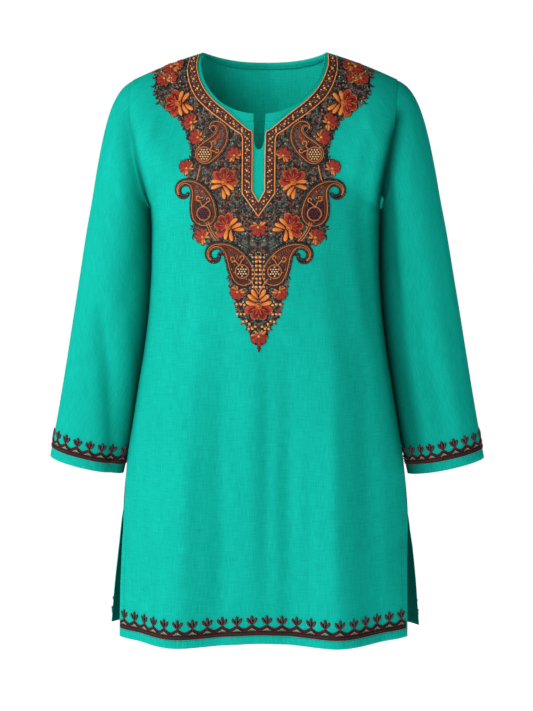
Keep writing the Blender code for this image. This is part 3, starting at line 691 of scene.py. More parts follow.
class Graph:
    """A material's nodes, placed left to right as they are made."""

    def __init__(self, name, plain_colour):
        """A new material, with the colour that a plain view shows."""
        self.material = bpy.data.materials.new(name)
        self.material.use_nodes = True
        self.material.diffuse_color = (*plain_colour, 1.0)
        self.nodes = self.material.node_tree.nodes
        self.links = self.material.node_tree.links
        self.shader = self.nodes["Principled BSDF"]
        self.column = 0

    def put(self, socket, value):
        """Join the socket to another, or set its value."""
        if isinstance(value, bpy.types.NodeSocket):
            self.links.new(value, socket)
        else:
            socket.default_value = value

    def node(self, kind, values=(), **settings):
        """One node of that kind with its inputs and its settings."""
        made = self.nodes.new(kind)
        self.column += 1
        made.location = (-180 * self.column, -60 * (self.column % 5))
        for key, value in settings.items():
            setattr(made, key, value)
        for key, value in dict(values).items():
            self.put(made.inputs[key], value)
        return made

    def cloth_uv(self):
        """Metres across and up the piece, or along and across the thread."""
        return self.node("ShaderNodeUVMap", uv_map="Cloth").outputs["UV"]

    def dye(self):
        """The colour attribute of the mesh: the thread's colour, and on the cloth its painted light and
        shade.
        """
        return self.node("ShaderNodeAttribute", attribute_name="colour_and_painted_light").outputs["Color"]

    def place(self):
        """Where a point lies on the garment."""
        return self.node("ShaderNodeTexCoord").outputs["Object"]

    def split(self, vector):
        """The three parts of a vector."""
        return self.node("ShaderNodeSeparateXYZ", {0: vector}).outputs

    def math(self, operation, a, b=0.0):
        """One step of arithmetic on two values."""
        return self.node("ShaderNodeMath", {0: a, 1: b}, operation=operation).outputs[0]

    def waves(self, value, length):
        """A sine of the value, one wave to the length."""
        return self.math("SINE", self.math("MULTIPLY", value, 2 * math.pi / length))

    def noise(self, vector, scale, detail=2.0, rough=0.5):
        """Soft noise over a vector."""
        values = {"Vector": vector, "Scale": scale, "Detail": detail, "Roughness": rough}
        return self.node("ShaderNodeTexNoise", values).outputs["Fac"]

    def stretched(self, vector, across, up):
        """The vector with its first two parts scaled."""
        values = {"Vector": vector, "Scale": (across, up, 1.0)}
        return self.node("ShaderNodeMapping", values).outputs["Vector"]

    def mix(self, factor, a, b, blend="MIX"):
        """Colours a and b, mixed or multiplied by the factor."""
        made = self.node("ShaderNodeMix", data_type="RGBA", blend_type=blend)
        self.put(made.inputs[0], factor)
        for index, value in ((6, a), (7, b)):
            plain = not isinstance(value, bpy.types.NodeSocket)
            self.put(made.inputs[index], (*value[:3], 1.0) if plain else value)
        return made.outputs[2]

    def times(self, colour, tint):
        """Two colours multiplied part by part."""
        return self.mix(1.0, colour, tint, "MULTIPLY")

    def ramp(self, value, low, high):
        """0 at the low value and below, 1 at the high one and above, and straight between."""
        values = {"Value": value, "From Min": low, "From Max": high}
        return self.node("ShaderNodeMapRange", values).outputs["Result"]

    def finish(self, colour, relief=None, **values):
        """The finished material: its colour, its relief as height, strength and distance, and the
        shader's other inputs."""
        self.put(self.shader.inputs["Base Color"], colour)
        if relief:
            values_of = dict(zip(("Height", "Strength", "Distance"), relief))
            bump = self.node("ShaderNodeBump", values_of)
            self.put(self.shader.inputs["Normal"], bump.outputs["Normal"])
        for key, value in values.items():
            self.shader.inputs[key.replace("_", " ")].default_value = value
        return self.material


WARP_PITCH = 0.00085
WEFT_PITCH = 0.00095
STRAND_PITCH = 0.00052
BORDER_ROW_PITCH = 0.0007


def cloth_material(name, colour, light, dark):
    """Plain weave: fine warp and weft threads as crossed sine waves, uneven slubs as noise drawn out
    along each thread, broad soft changes of tone, and fine upright puckers in the turned hem. The
    attribute's first part is painted light and shade that multiplies the dye, and its second lets the
    puckers in."""
    g = Graph(name, colour)
    uv = g.cloth_uv()
    tones = g.node("ShaderNodeSeparateColor", {0: g.dye()}).outputs
    warp = g.noise(g.stretched(uv, 760.0, 44.0), 1.0, 2.0, 0.55)
    weft = g.noise(g.stretched(uv, 40.0, 700.0), 1.0, 2.0, 0.55)
    fine = g.noise(g.stretched(uv, 1250.0, 820.0), 1.0, 2.0, 0.6)
    broad = g.noise(g.stretched(uv, 42.0, 7.0), 1.0, 2.0, 0.5)
    slub = g.math("ADD", g.math("MULTIPLY", warp, 0.58), g.math("MULTIPLY", weft, 0.42))
    tone = g.math("ADD", g.math("MULTIPLY", slub, 0.50), g.math("MULTIPLY", fine, 0.40))
    tone = g.math("ADD", tone, g.math("MULTIPLY", broad, 0.10))
    dyed = g.mix(g.ramp(tone, 0.35, 0.65), dark, light)
    # Painted light and shade from the attribute's first part, multiplying the dye
    deep = g.node("ShaderNodeCombineColor", {0: tones[0], 1: tones[0], 2: tones[0]}).outputs[0]
    across, upward, _ = g.split(uv)
    weave = g.math("MULTIPLY", g.waves(across, WARP_PITCH), g.waves(upward, WEFT_PITCH))
    pucker = g.math("MULTIPLY", g.noise(g.stretched(uv, 190.0, 22.0), 1.0, 1.0, 0.4), tones[1])
    height = g.math("ADD", g.math("MULTIPLY", weave, 0.35), g.math("MULTIPLY", slub, 1.8))
    height = g.math("ADD", height, g.math("MULTIPLY", pucker, 9.0))
    return g.finish(
        g.times(dyed, deep), (height, 0.48, 0.00032), Roughness=0.88, Specular_IOR_Level=0.0,
        Sheen_Weight=0.05, Sheen_Roughness=0.45, Sheen_Tint=(*light, 1.0))


def thread_material():
    """Spun thread: its colour from the mesh, fine strands as a sine across them that also breaks
    up the tone, and uneven dye."""
    g = Graph("embroidery thread", (0.4, 0.1, 0.05))
    dyed = g.dye()
    strands = g.waves(g.split(g.cloth_uv())[1], STRAND_PITCH)
    uneven = g.noise(g.place(), 900.0, 2.0, 0.6)
    tone = g.math("ADD", g.math("MULTIPLY", strands, 0.16), uneven)
    low = g.times(dyed, (0.42, 0.39, 0.40))
    high = g.times(dyed, (1.42, 1.42, 1.36))
    relief = (g.math("ADD", strands, uneven), 0.5, 0.00012)
    return g.finish(g.mix(g.ramp(tone, 0.25, 0.85), low, high), relief,
                    Roughness=0.55, Specular_IOR_Level=0.26)


def bead_material():
    """Small glass and gilt beads: their colour from the mesh, a little clouded, with a hard shine."""
    g = Graph("beads", (0.7, 0.45, 0.2))
    dyed = g.dye()
    cloud = g.noise(g.place(), 700.0, 2.0, 0.5)
    return g.finish(g.mix(cloud, g.times(dyed, (0.62, 0.60, 0.58)), dyed), Roughness=0.22,
                    Specular_IOR_Level=0.6, Coat_Weight=0.3, Coat_Roughness=0.12)


def ground_material():
    """The worked ground between the leaves: small cells of plum, brown and grey-green thread, some
    left as open cloth colour, each cell's tone taken from its own chance value."""
    g = Graph("yoke ground", (0.06, 0.04, 0.05))
    cell = {"Vector": g.stretched(g.cloth_uv(), 1.0, 0.7), "Scale": 560.0}
    cells = g.node("ShaderNodeTexVoronoi", cell).outputs
    chance = g.node("ShaderNodeSeparateColor", {0: cells["Color"]}).outputs
    warm = g.mix(g.ramp(chance[0], 0.3, 0.7), linear(42, 22, 30), linear(100, 56, 44))
    cool = g.mix(g.ramp(chance[1], 0.2, 0.8), linear(40, 78, 78), linear(20, 142, 128))
    tone = g.mix(g.ramp(chance[2], 0.46, 0.52), warm, cool)
    dark = g.mix(g.ramp(cells["Distance"], 0.15, 0.6), tone, linear(30, 16, 24))
    return g.finish(g.times(dark, (0.62, 0.62, 0.62)), (cells["Distance"], -0.6, 0.0006),
                    Roughness=0.65, Specular_IOR_Level=0.25)


def border_ground_material():
    """Close rows of dark thread under the neck border's cords: a fine sine along it over uneven
    brown and plum."""
    g = Graph("border ground", (0.09, 0.03, 0.03))
    uv = g.cloth_uv()
    rows = g.waves(g.split(uv)[1], BORDER_ROW_PITCH)
    uneven = g.noise(uv, 420.0, 2.0, 0.6)
    colour = g.mix(g.ramp(uneven, 0.35, 0.65), linear(34, 22, 26), linear(96, 46, 32))
    return g.finish(colour, (g.math("ADD", rows, uneven), 0.6, 0.0002),
                    Roughness=0.6, Specular_IOR_Level=0.3)


# Thread laid on the cloth

# Sections of thread, six points round or, for what is repeated hundreds of times, four: how far
# each lies across and how high as shares, and how deep it lies under the cloth's face in metres
FOOT = (0.0, 0.0, -0.00025)
ROUND = np.array([(-1.0, 0.0, 0.0), (-0.62, 0.78, 0.0), (0.0, 1.0, 0.0), (0.62, 0.78, 0.0),
                  (1.0, 0.0, 0.0), FOOT])
LOW = np.array([(-1.0, 0.0, 0.0), (0.0, 1.0, 0.0), (1.0, 0.0, 0.0), FOOT])


class Thread:
    """Gathers raised thread in a flat layout, and lays all of it on a surface at once."""

    def __init__(self):
        """Nothing laid yet."""
        self.flat = []
        self.lift = []
        self.colour = []
        self.uv = []
        self.faces = []
        self.count = 0

    def lay(self, paths, half, height, colour, lift=0.0, closed=False, twist=0.0, section_of=ROUND):
        """Carry a section along each path: its points stand beside the path by their share of the
        half breadth, and over the cloth by the lift and their share of the height. paths is k
        paths of n points, in metres. The strands run across by the twist as the path goes on."""
        paths = np.asarray(paths, float)
        if paths.ndim == 2:
            paths = paths[None]
        k, n = paths.shape[:2]
        half = np.broadcast_to(np.asarray(half, float), (k, n))
        height = np.broadcast_to(np.asarray(height, float), (k, n))
        lift = np.broadcast_to(np.asarray(lift, float), (k, n))
        colour = np.broadcast_to(np.asarray(colour, float), (k, n, 3))
        if closed:
            tangent = np.roll(paths, -1, axis=1) - np.roll(paths, 1, axis=1)
        else:
            tangent = np.gradient(paths, axis=1)
        tangent /= np.maximum(np.linalg.norm(tangent, axis=-1, keepdims=True), 1e-12)
        side = np.stack([-tangent[..., 1], tangent[..., 0]], axis=-1)
        around = len(section_of)
        across = half[..., None] * section_of[:, 0]
        points = paths[:, :, None, :] + side[:, :, None, :] * across[..., None]
        up = lift[..., None] + height[..., None] * section_of[:, 1] + section_of[:, 2]
        step = np.linalg.norm(np.diff(paths, axis=1), axis=-1)
        along = np.concatenate([np.zeros((k, 1)), np.cumsum(step, axis=1)], axis=1)[..., None]
        phase = across if twist == 0.0 else (along + across) * twist
        uv = np.stack([np.broadcast_to(along, phase.shape), phase], axis=-1)
        start = self.count + np.arange(k * n * around).reshape(k, n, around)
        wrapped = np.concatenate([start, start[:, :, :1]], axis=2)
        if closed:
            wrapped = np.concatenate([wrapped, wrapped[:, :1]], axis=1)
        corners = (wrapped[:, :-1, :-1], wrapped[:, 1:, :-1], wrapped[:, 1:, 1:], wrapped[:, :-1, 1:])
        self.faces.append(np.stack(corners, axis=-1).reshape(-1, 4))
        if not closed:
            ends = ((0, 1, 2, 3),) if around == 4 else ((0, 1, 2, 3), (0, 3, 4, 5))
            self.faces += [start[:, 0][:, list(corner)] for corner in ends]
            self.faces += [start[:, -1][:, list(corner[::-1])] for corner in ends]
        self.flat.append(points.reshape(-1, 2))
        self.lift.append(up.reshape(-1))
        self.colour.append(np.broadcast_to(colour[:, :, None], (k, n, around, 3)).reshape(-1, 3))
        self.uv.append(uv.reshape(-1, 2))
        self.count += k * n * around

    def beads(self, places, radius, colour, lift=0.0003, height=0.85, section_of=ROUND):
        """Round beads: along a diameter the half breadth and the height follow a half circle."""
        places = np.asarray(places, float).reshape(-1, 2)
        t = -np.cos(np.linspace(0.04, 0.96, 6) * math.pi)
        radius = np.broadcast_to(np.asarray(radius, float), (len(places),))[:, None]
        paths = places[:, None, :] + np.stack([radius * t, np.zeros_like(radius * t)], axis=-1)
        round_off = np.sqrt(1.0 - t * t)
        colour = np.asarray(colour, float)
        colour = colour[:, None, :] if colour.ndim == 2 else colour
        self.lay(paths, radius * round_off, height * radius * round_off, colour, lift,
                 section_of=section_of)

    def mirrored(self):
        """The same thread with the first direction turned round, its faces turned back."""
        other = Thread()
        turn = np.array([-1.0, 1.0])
        other.flat = [flat * turn for flat in self.flat]
        other.lift = list(self.lift)
        other.colour = list(self.colour)
        other.uv = list(self.uv)
        other.faces = [faces[:, ::-1] for faces in self.faces]
        other.count = self.count
        return other

    def piece(self, name, surface, finish):
        """Put every point on the surface, lifted along its normal, and make the mesh."""
        flat = np.concatenate(self.flat)
        lift = np.concatenate(self.lift)
        points, normals = surface(flat[:, 0], flat[:, 1])
        points = points + normals * lift[:, None]
        made = make_mesh(name, points, np.concatenate(self.faces), np.concatenate(self.uv), finish,
                         colours=np.concatenate(self.colour))
        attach(made, "root")


def both_sides(name, thread, surface, finish):
    """The thread on the wearer's right, and its mirror image on the left."""
    thread.piece(name + "_right", surface, finish)
    thread.mirrored().piece(name + "_left", surface, finish)


def on_front(x, z):
    """The front's face, with what comes near the shoulder line pressed together below it: the rest
    of the way to the line falls as an exponential."""
    top = shoulder_ridge(x, NECK_RISE["front"]) - SHOULDER_MARGIN
    over = z - (top - SHOULDER_PRESS)
    z = np.where(over > 0, top - SHOULDER_PRESS * np.exp(-np.maximum(over, 0.0) / SHOULDER_PRESS), z)
    return on_panel(x, z, "front")


def on_panel(x, z, side):
    """Points of a panel's outer face over its front view, and unit normals from the differences
    of its depth over a small step."""
    step = 0.0005
    slope_x = (surface_y(x + step, z, side) - surface_y(x - step, z, side)) / (2 * step)
    slope_z = (surface_y(x, z + step, side) - surface_y(x, z - step, side)) / (2 * step)
    normal = np.stack([slope_x, -np.ones_like(slope_x), slope_z], axis=-1)
    if side == "back":
        normal = -normal
    normal /= np.linalg.norm(normal, axis=-1, keepdims=True)
    return np.stack([swayed(x, z, side), surface_y(x, z, side), z], axis=-1), normal


# Shapes of the embroidery


def shade(*colours):
    """Scene colours of thread, times a little less than one."""
    return np.array([linear(*c) for c in colours]) * 0.95


RED, DEEP_RED, ORANGE, LIGHT_ORANGE, GOLD, PLUM, BROWN = shade(
    (192, 46, 36), (132, 20, 30), (232, 112, 36), (252, 160, 72), (218, 134, 70), (50, 22, 34),
    (112, 64, 50))
TEAL_GREY, RUST, CREAM, PURPLE, MAROON, INK, STITCH = shade(
    (84, 122, 118), (158, 70, 44), (250, 218, 160), (108, 26, 70), (104, 26, 38), (40, 34, 42),
    (4, 96, 84))


def mm(*values):
    """Millimetres as metres."""
    return np.array(values, float) * 0.001


def turned(degrees):
    """The cosine and the sine of a bearing: one step that way in the flat layout."""
    angle = np.radians(degrees)
    return np.stack([np.cos(angle), np.sin(angle)], axis=-1)


PETAL_RIM = 0.0010


def petal_half(t):
    """Share of a petal's half breadth along its length: a power of the way from its foot times a
    root that closes its round tip."""
    return np.clip(t, 0.0, 1.0) ** 0.62 * np.sqrt(np.clip(1.0 - t**3.6, 0.0, 1.0))


def add_petals(thread, foot, degrees, length, half, inner, outer, lift=0.0008, height=0.0009,
               bend=0.0, edge=None):
    """Petals from one foot, each a line bent sideways by the square of the way along it, with the
    petal's half breadth, coloured from its foot to its tip. With an edge, a thin cord runs round
    it on a dark form a little larger."""
    degrees = np.atleast_1d(np.asarray(degrees, float))
    t = (1.0 - np.cos(math.pi * np.linspace(0.0, 1.0, 8))) / 2
    t[-1] = 0.995
    out = turned(degrees)[:, None, :]
    side = turned(degrees + 90.0)[:, None, :]
    path = foot + out * (length * t)[None, :, None] + side * (bend * length * t * t)[None, :, None]
    breadth = half * np.maximum(petal_half(t), 0.06)
    mixed = inner[None, :] * (1.0 - t[:, None]) + outer[None, :] * t[:, None]
    rise = height * np.maximum(petal_half(t), 0.15)
    thread.lay(path, breadth, rise, mixed[None], lift)
    if edge is not None:
        larger = foot + (path - foot) * (1.0 + PETAL_RIM / length)
        thread.lay(larger, breadth + PETAL_RIM, 0.0004, INK * 0.35, lift - 0.0002, section_of=LOW)
        tangent = np.gradient(path, axis=1)
        tangent /= np.linalg.norm(tangent, axis=-1, keepdims=True)
        normal = np.stack([-tangent[..., 1], tangent[..., 0]], axis=-1)
        one = path + normal * breadth[None, :, None]
        two = path - normal * breadth[None, :, None]
        outline = np.concatenate([two, one[:, ::-1]], axis=1)
        thread.lay(outline, 0.00042, 0.00062, edge, lift + 0.0002, closed=True, twist=0.5)


def add_flower(thread, place, facing, radius, seed):
    """A half-open flower: red petals round its face, orange leaves behind them, and a bead."""
    foot = mm(*place)
    radius = radius * 0.001
    foot = foot - turned(facing) * radius * 0.30
    dice = np.random.default_rng(seed)
    wobble = dice.uniform(-5.0, 5.0, 8)
    back = facing + np.array([-104.0, 104.0, -136.0, 136.0]) + wobble[:4]
    face = facing + np.array([-70.0, 70.0, -36.0, 36.0, 0.0]) + wobble[3:8]
    for turns, reach, half, inner, outer, lift, height, bend, edge in (
        (back[:2], 0.92, 0.22, ORANGE, LIGHT_ORANGE, 0.0006, 0.0010, 0.25, RUST),
        (back[2:], 0.70, 0.18, ORANGE, LIGHT_ORANGE, 0.0005, 0.0009, 0.10, None),
        (face[:2], 1.00, 0.33, RED, DEEP_RED, 0.0008, 0.0010, 0.0, GOLD * 0.8),
        (face[2:4], 1.12, 0.36, DEEP_RED, RED, 0.0010, 0.0010, 0.0, RUST),
        (face[4:], 1.20, 0.36, DEEP_RED, RED, 0.0013, 0.0010, 0.0, RUST),
    ):
        add_petals(thread, foot, turns, radius * reach, radius * half, inner, outer, lift, height,
                   bend, edge)
    thread.beads(foot[None] + turned(facing) * radius * 0.12, radius * 0.16, LIGHT_ORANGE, 0.0016)


def add_big_flower(thread, place, facing, radius, red, orange):
    """An open flower: broad red petals with deep hearts and gold edges on one side, fat bent
    orange leaves with brown edges on the other, and a round gold heart."""
    foot = mm(*place)
    radius = radius * 0.001
    red = facing + np.asarray(red, float)
    back = facing + 180.0
    leaves = ((0.08, 93.0, 0.96), (0.30, 72.0, 0.92), (0.52, 51.0, 0.84))
    for way, count in zip((-1.0, 1.0), orange):
        for shift, lean, reach in leaves[:count]:
            add_petals(thread, foot + turned(back) * radius * shift, back + way * lean,
                       radius * reach, radius * 0.270, ORANGE * 0.80, LIGHT_ORANGE, 0.0008, 0.0017,
                       -0.30 * way, edge=RUST * 0.5)
    hearts = foot + turned(facing) * radius * 0.12
    for start, reach, half, inner, outer, lift, height, edge in (
        (foot, 1.10, 0.43, RED, RED * 0.85 + ORANGE * 0.15, 0.0009, 0.0007, GOLD),
        (hearts, 0.82, 0.27, DEEP_RED * 0.45, DEEP_RED * 0.8, 0.0014, 0.0009, RED),
        (hearts, 0.56, 0.06, RED, ORANGE, 0.0020, 0.0006, None),
    ):
        add_petals(thread, start, red, radius * reach, radius * half, inner, outer, lift, height,
                   edge=edge)
    around = turned(np.arange(0.0, 360.0, 30.0)) * radius * 0.20
    thread.lay((foot + around)[None], 0.0007, 0.0009, GOLD, 0.0019, closed=True, twist=0.5)
    thread.beads(foot[None], radius * 0.15, ORANGE, 0.0020)


def smooth_line(points, count):
    """Points at even steps on a smooth curve through a few."""
    points = np.asarray(points, float)
    at = distances(points)
    wanted = np.linspace(0.0, at[-1], count)
    return np.stack([curve_through(wanted, at, points[:, i]) for i in (0, 1)], axis=-1)


STONE_PITCH = 0.0037


def add_paisley(thread, disc, back, bearing, length, turn, power, radius, stalk, body, ring,
                stones, seed):
    """A paisley. Its middle line starts a little behind the disc and turns by a power of the way
    along it, so that it winds up into a curl. Its half breadth falls from the round end's to the
    stalk's by a smooth step, and the stalk's by a cube. Cords run round it at set distances inside
    its edge, with leaves, curls and a disc of small stones on it."""
    dice = np.random.default_rng(seed)
    disc = mm(*disc)
    length, radius, stalk, ring = length * 0.001, radius * 0.001, stalk * 0.001, ring * 0.001
    t = np.linspace(0.0, 1.0, 92)
    heading = bearing + turn * t**power
    step = turned(heading) * length / (len(t) - 1)
    spine = disc - turned(bearing) * back * 0.001 + np.cumsum(step, axis=0) - step[0]
    narrow = stalk * (1.0 - 0.70 * t**5)
    breadth = narrow + (radius - narrow) * (1.0 - smoothstep((t / body) ** 1.25))
    left = turned(heading + 90.0)

    def rim(inside):
        """Both edges of the form, moved in, joined by a half circle round the round end."""
        keep = breadth > inside + 0.0002
        room = (breadth - inside)[keep][:, None]
        one = spine[keep] + left[keep] * room
        two = spine[keep] - left[keep] * room
        round_end = spine[0] + turned(bearing + np.linspace(100.0, 260.0, 17)) * (breadth[0] - inside)
        return np.concatenate([one[::-1], round_end, two])

    cap = np.cos(np.linspace(0.02, 0.94, 12) * math.pi / 2) * radius
    line = np.concatenate([spine[0] - turned(bearing) * cap[:, None], spine])
    wide = np.concatenate([np.sqrt(radius**2 - cap**2), breadth])
    thread.lay(line, wide, 0.0004, PLUM * 0.6 + BROWN * 0.2, 0.0001)
    thread.lay(rim(0.0012), 0.0018, 0.0015, INK * 0.5 + PLUM * 0.25, 0.0004, twist=0.35)
    dots = rim(0.0016)[::2]
    tones = np.array([BROWN, TEAL_GREY * 1.5, CREAM * 0.6, RUST * 0.8])
    thread.beads(dots, 0.00055, tones[dice.integers(0, 4, len(dots))], 0.0016)
    cord = GOLD * 0.95 + BROWN * 0.1
    thread.lay(rim(0.0037), 0.00072, 0.0013, cord, 0.0008, twist=0.4)
    thread.lay(rim(0.0056), 0.00045, 0.0009, BROWN, 0.0006, twist=0.5)
    thread.lay(rim(0.0070), 0.00050, 0.0009, RUST * 0.6 + BROWN * 0.4, 0.0006, twist=0.5)
    for place in range(16, 52, 3):
        room = breadth[place] - 0.0082
        if room < 0.0008:
            continue
        for lean in (-58.0, 58.0):
            tone = (TEAL_GREY * 1.1, BROWN * 1.2, ORANGE * 0.5, RUST)[dice.integers(4)]
            add_petals(thread, spine[place], heading[place] + lean, room * 1.05, 0.00150, tone, tone,
                       0.0006, 0.0008, 0.2)
    across = turned(bearing + 90.0)
    u = np.linspace(0.0, 1.0, 14)
    for reach, sway, size, way in ((0.62, 0.20, 0.0044, 1.0), (0.44, -0.42, 0.0036, -1.0)):
        foot = disc + turned(bearing) * ring
        eye = disc + turned(bearing) * (ring + radius * reach) + across * radius * sway
        curl = eye + turned(bearing + way * (200.0 - 320.0 * u)) * (size * (1.0 - 0.62 * u))[:, None]
        rise = foot + (curl[0] - foot) * np.linspace(0.0, 0.9, 4)[:, None]
        thread.lay(np.concatenate([rise, curl]), 0.00075, 0.0012, cord * 1.1, 0.0012, twist=0.4)
    turns = turned(np.arange(0.0, 360.0, 15.0))
    thread.lay((disc + turns * ring * 0.5)[None], ring * 0.52, 0.0005, PLUM * 0.7, 0.0008,
               closed=True)
    thread.lay((disc + turns * ring)[None], 0.00075, 0.0014, cord, 0.0012, closed=True, twist=0.4)
    thread.lay((disc + turns * (ring - 0.0015))[None], 0.0005, 0.0010, BROWN, 0.0012, closed=True,
               twist=0.4)
    row = np.arange(-3, 4)
    a, b = np.meshgrid(row, row)
    stone = np.stack([a + 0.5 * b, b * math.sqrt(3) / 2], axis=-1).reshape(-1, 2) * STONE_PITCH
    stone = stone[np.linalg.norm(stone, axis=1) < ring - 0.0022]
    thread.beads(disc + stone, 0.00120, stones, 0.0013)


# The yoke

# All places here are in millimetres on the half that is on the left in a front view.
# The worked ground's outline: down its outer side, and back up beside the neck border
YOKE_OUTLINE = (
    (-107, -7), (-132, -15), (-156, -26), (-153, -58), (-138, -78), (-116, -94), (-106, -113),
    (-99, -129), (-96, -148), (-112, -163), (-101, -178), (-86, -190), (-86, -240), (-96, -250),
    (-85, -271), (-62, -272), (-44, -296), (-40, -328), (-33, -350), (-29, -374), (-14, -394),
    (0, -420), (0, -234), (-23.5, -201), (-24, -122), (-53, -100), (-74, -84), (-93, -65),
    (-104, -45), (-109, -27),
)
# Open flowers: place, facing, radius, the turns of the red petals, and how many orange leaves lie
# on each side
BIG_FLOWERS = (
    ((-117, -74), 180, 18.0, (-68, -23, 22, 67), (3, 2)),
    ((-49, -184), 70, 18.0, (68, 23, -22, -67), (2, 3)),
    ((-43, -247), 150, 18.0, (68, 23, -22, -67), (2, 3)),
)
MIDDLE_FLOWER = ((0, -358), 270, 19.0, (-66, -22, 22, 66), (3, 3))
# Small flowers: place, facing and radius
SMALL_FLOWERS = (
    ((-134, -23), 205, 11.5), ((-121, -18), 20, 8.5), ((-142, -40), 215, 10.5),
    ((-128, -38), 15, 7.5), ((-99, -100), 150, 11.5), ((-89, -122), 190, 11.5),
    ((-35, -145), 110, 11.0), ((-104, -163), 130, 11.0), ((-81, -260), 140, 11.5),
    ((-31, -340), 235, 11.0),
)
MIDDLE_FLOWERS = (((0, -249), 270, 12.5), ((0, -404), 270, 12.5))
# Paisleys: disc, how far the round end's middle lies behind it, bearing, length, turn, power of the
# turn, half breadth, the stalk's, the body's share of the length, the disc's radius, stones
PAISLEYS = (
    ((-77.5, -145.3), -1.0, 38.0, 78.0, 330.0, 2.80, 17.2, 6.6, 0.86, 10.2, "cream"),
    ((-77.8, -228.3), 0.0, 98.0, 99.0, 342.0, 2.5, 20.8, 5.4, 0.58, 9.6, "purple"),
    ((-22.9, -309.3), 4.0, 115.0, 107.5, 362.0, 2.74, 19.6, 5.4, 0.56, 9.6, "cream"),
)
# Stems from the paisleys to the flowers
STEMS = (
    ((-83, -160), (-85, -170), (-88, -182)),
    ((-71.5, -239.5), (-66, -253), (-56, -266)),
    ((-74.5, -241), (-69, -254), (-60, -266)),
    ((-13, -320), (-6, -330), (0, -341)),
)
# Beads beside the middle flower
BEAD_ROWS = (
    (-31, -356), (-25, -356), (-20, -357), (-30, -370), (-25, -370), (-20, -370),
    (-22, -381), (-17, -380), (-13, -384), (-14, -391), (-9, -391), (-4.6, -388),
)


def inside_outline(points, outline):
    """Which points lie in a closed outline: those whose ray crosses it an odd number of times."""
    outline = np.asarray(outline, float)
    a = outline[None]
    b = np.roll(outline, -1, axis=0)[None]
    p = points[:, None, :]
    spans = (a[..., 1] > p[..., 1]) != (b[..., 1] > p[..., 1])
    rise = np.where(b[..., 1] == a[..., 1], 1.0, b[..., 1] - a[..., 1])
    cross = a[..., 0] + (p[..., 1] - a[..., 1]) * (b[..., 0] - a[..., 0]) / rise
    return (np.sum(spans & (p[..., 0] < cross), axis=1) % 2) == 1


def ground_slab(cell=0.0022):
    """A thin slab over the whole worked ground: the cells of a square grid whose middles lie in
    the outline or its mirror image, with an upper face, an under face and a rim."""
    outline = mm(*YOKE_OUTLINE)
    reach = -outline[:, 0].min() + 2 * cell
    a = np.arange(-math.ceil(reach / cell), math.ceil(reach / cell) + 1) * cell
    b = np.arange(outline[:, 1].min() - 2 * cell, outline[:, 1].max() + 2 * cell, cell)
    x, z = np.meshgrid(a, b)
    middles = np.stack([x[:-1, :-1] + cell / 2, z[:-1, :-1] + cell / 2], axis=-1)
    flat = middles.reshape(-1, 2) * (-1.0, 1.0)
    kept = inside_outline(middles.reshape(-1, 2), outline) | inside_outline(flat, outline)
    kept = kept.reshape(middles.shape[:2])
    index = np.arange(x.size).reshape(x.shape)
    corners = [index[:-1, :-1], index[:-1, 1:], index[1:, 1:], index[1:, :-1]]
    under = x.size
    faces = [np.stack([c[kept] for c in corners], axis=-1),
             np.stack([c[kept] + under for c in corners[::-1]], axis=-1)]
    padded = np.pad(kept, 1)
    beside = (padded[:-2, 1:-1], padded[1:-1, 2:], padded[2:, 1:-1], padded[1:-1, :-2])
    for side in range(4):
        open_edge = kept & ~beside[side]
        one, two = corners[side][open_edge], corners[(side + 1) % 4][open_edge]
        faces.append(np.stack([one, one + under, two + under, two], axis=-1))
    faces = np.concatenate(faces)
    used, renumbered = np.unique(faces, return_inverse=True)
    flat = np.stack([x.ravel(), z.ravel()], axis=-1)
    flat = np.concatenate([flat, flat])[used]
    lift = np.where(used < under, 0.00035, 0.00012)
    points, normals = on_front(flat[:, 0], flat[:, 1])
    return points + normals * lift[:, None], renumbered.reshape(faces.shape), flat


def hidden_places():
    """Circles of the ground that the paisleys and the flowers cover: middles and radii."""
    covered = []
    for disc, _, bearing, length, turn, power, radius, *_ in PAISLEYS:
        for share in (0.0, 0.08, 0.16, 0.24, 0.32):
            way = turned(bearing + turn * (share * 0.6) ** power) * length * share
            covered.append((mm(*disc) + way * 0.001, radius * (1.0 - share) * 0.00092))
    for flower in (*BIG_FLOWERS, MIDDLE_FLOWER):
        covered.append((mm(*flower[0]), flower[2] * 0.00070))
    for flower in (*SMALL_FLOWERS, *MIDDLE_FLOWERS):
        covered.append((mm(*flower[0]), flower[2] * 0.00065))
    return covered


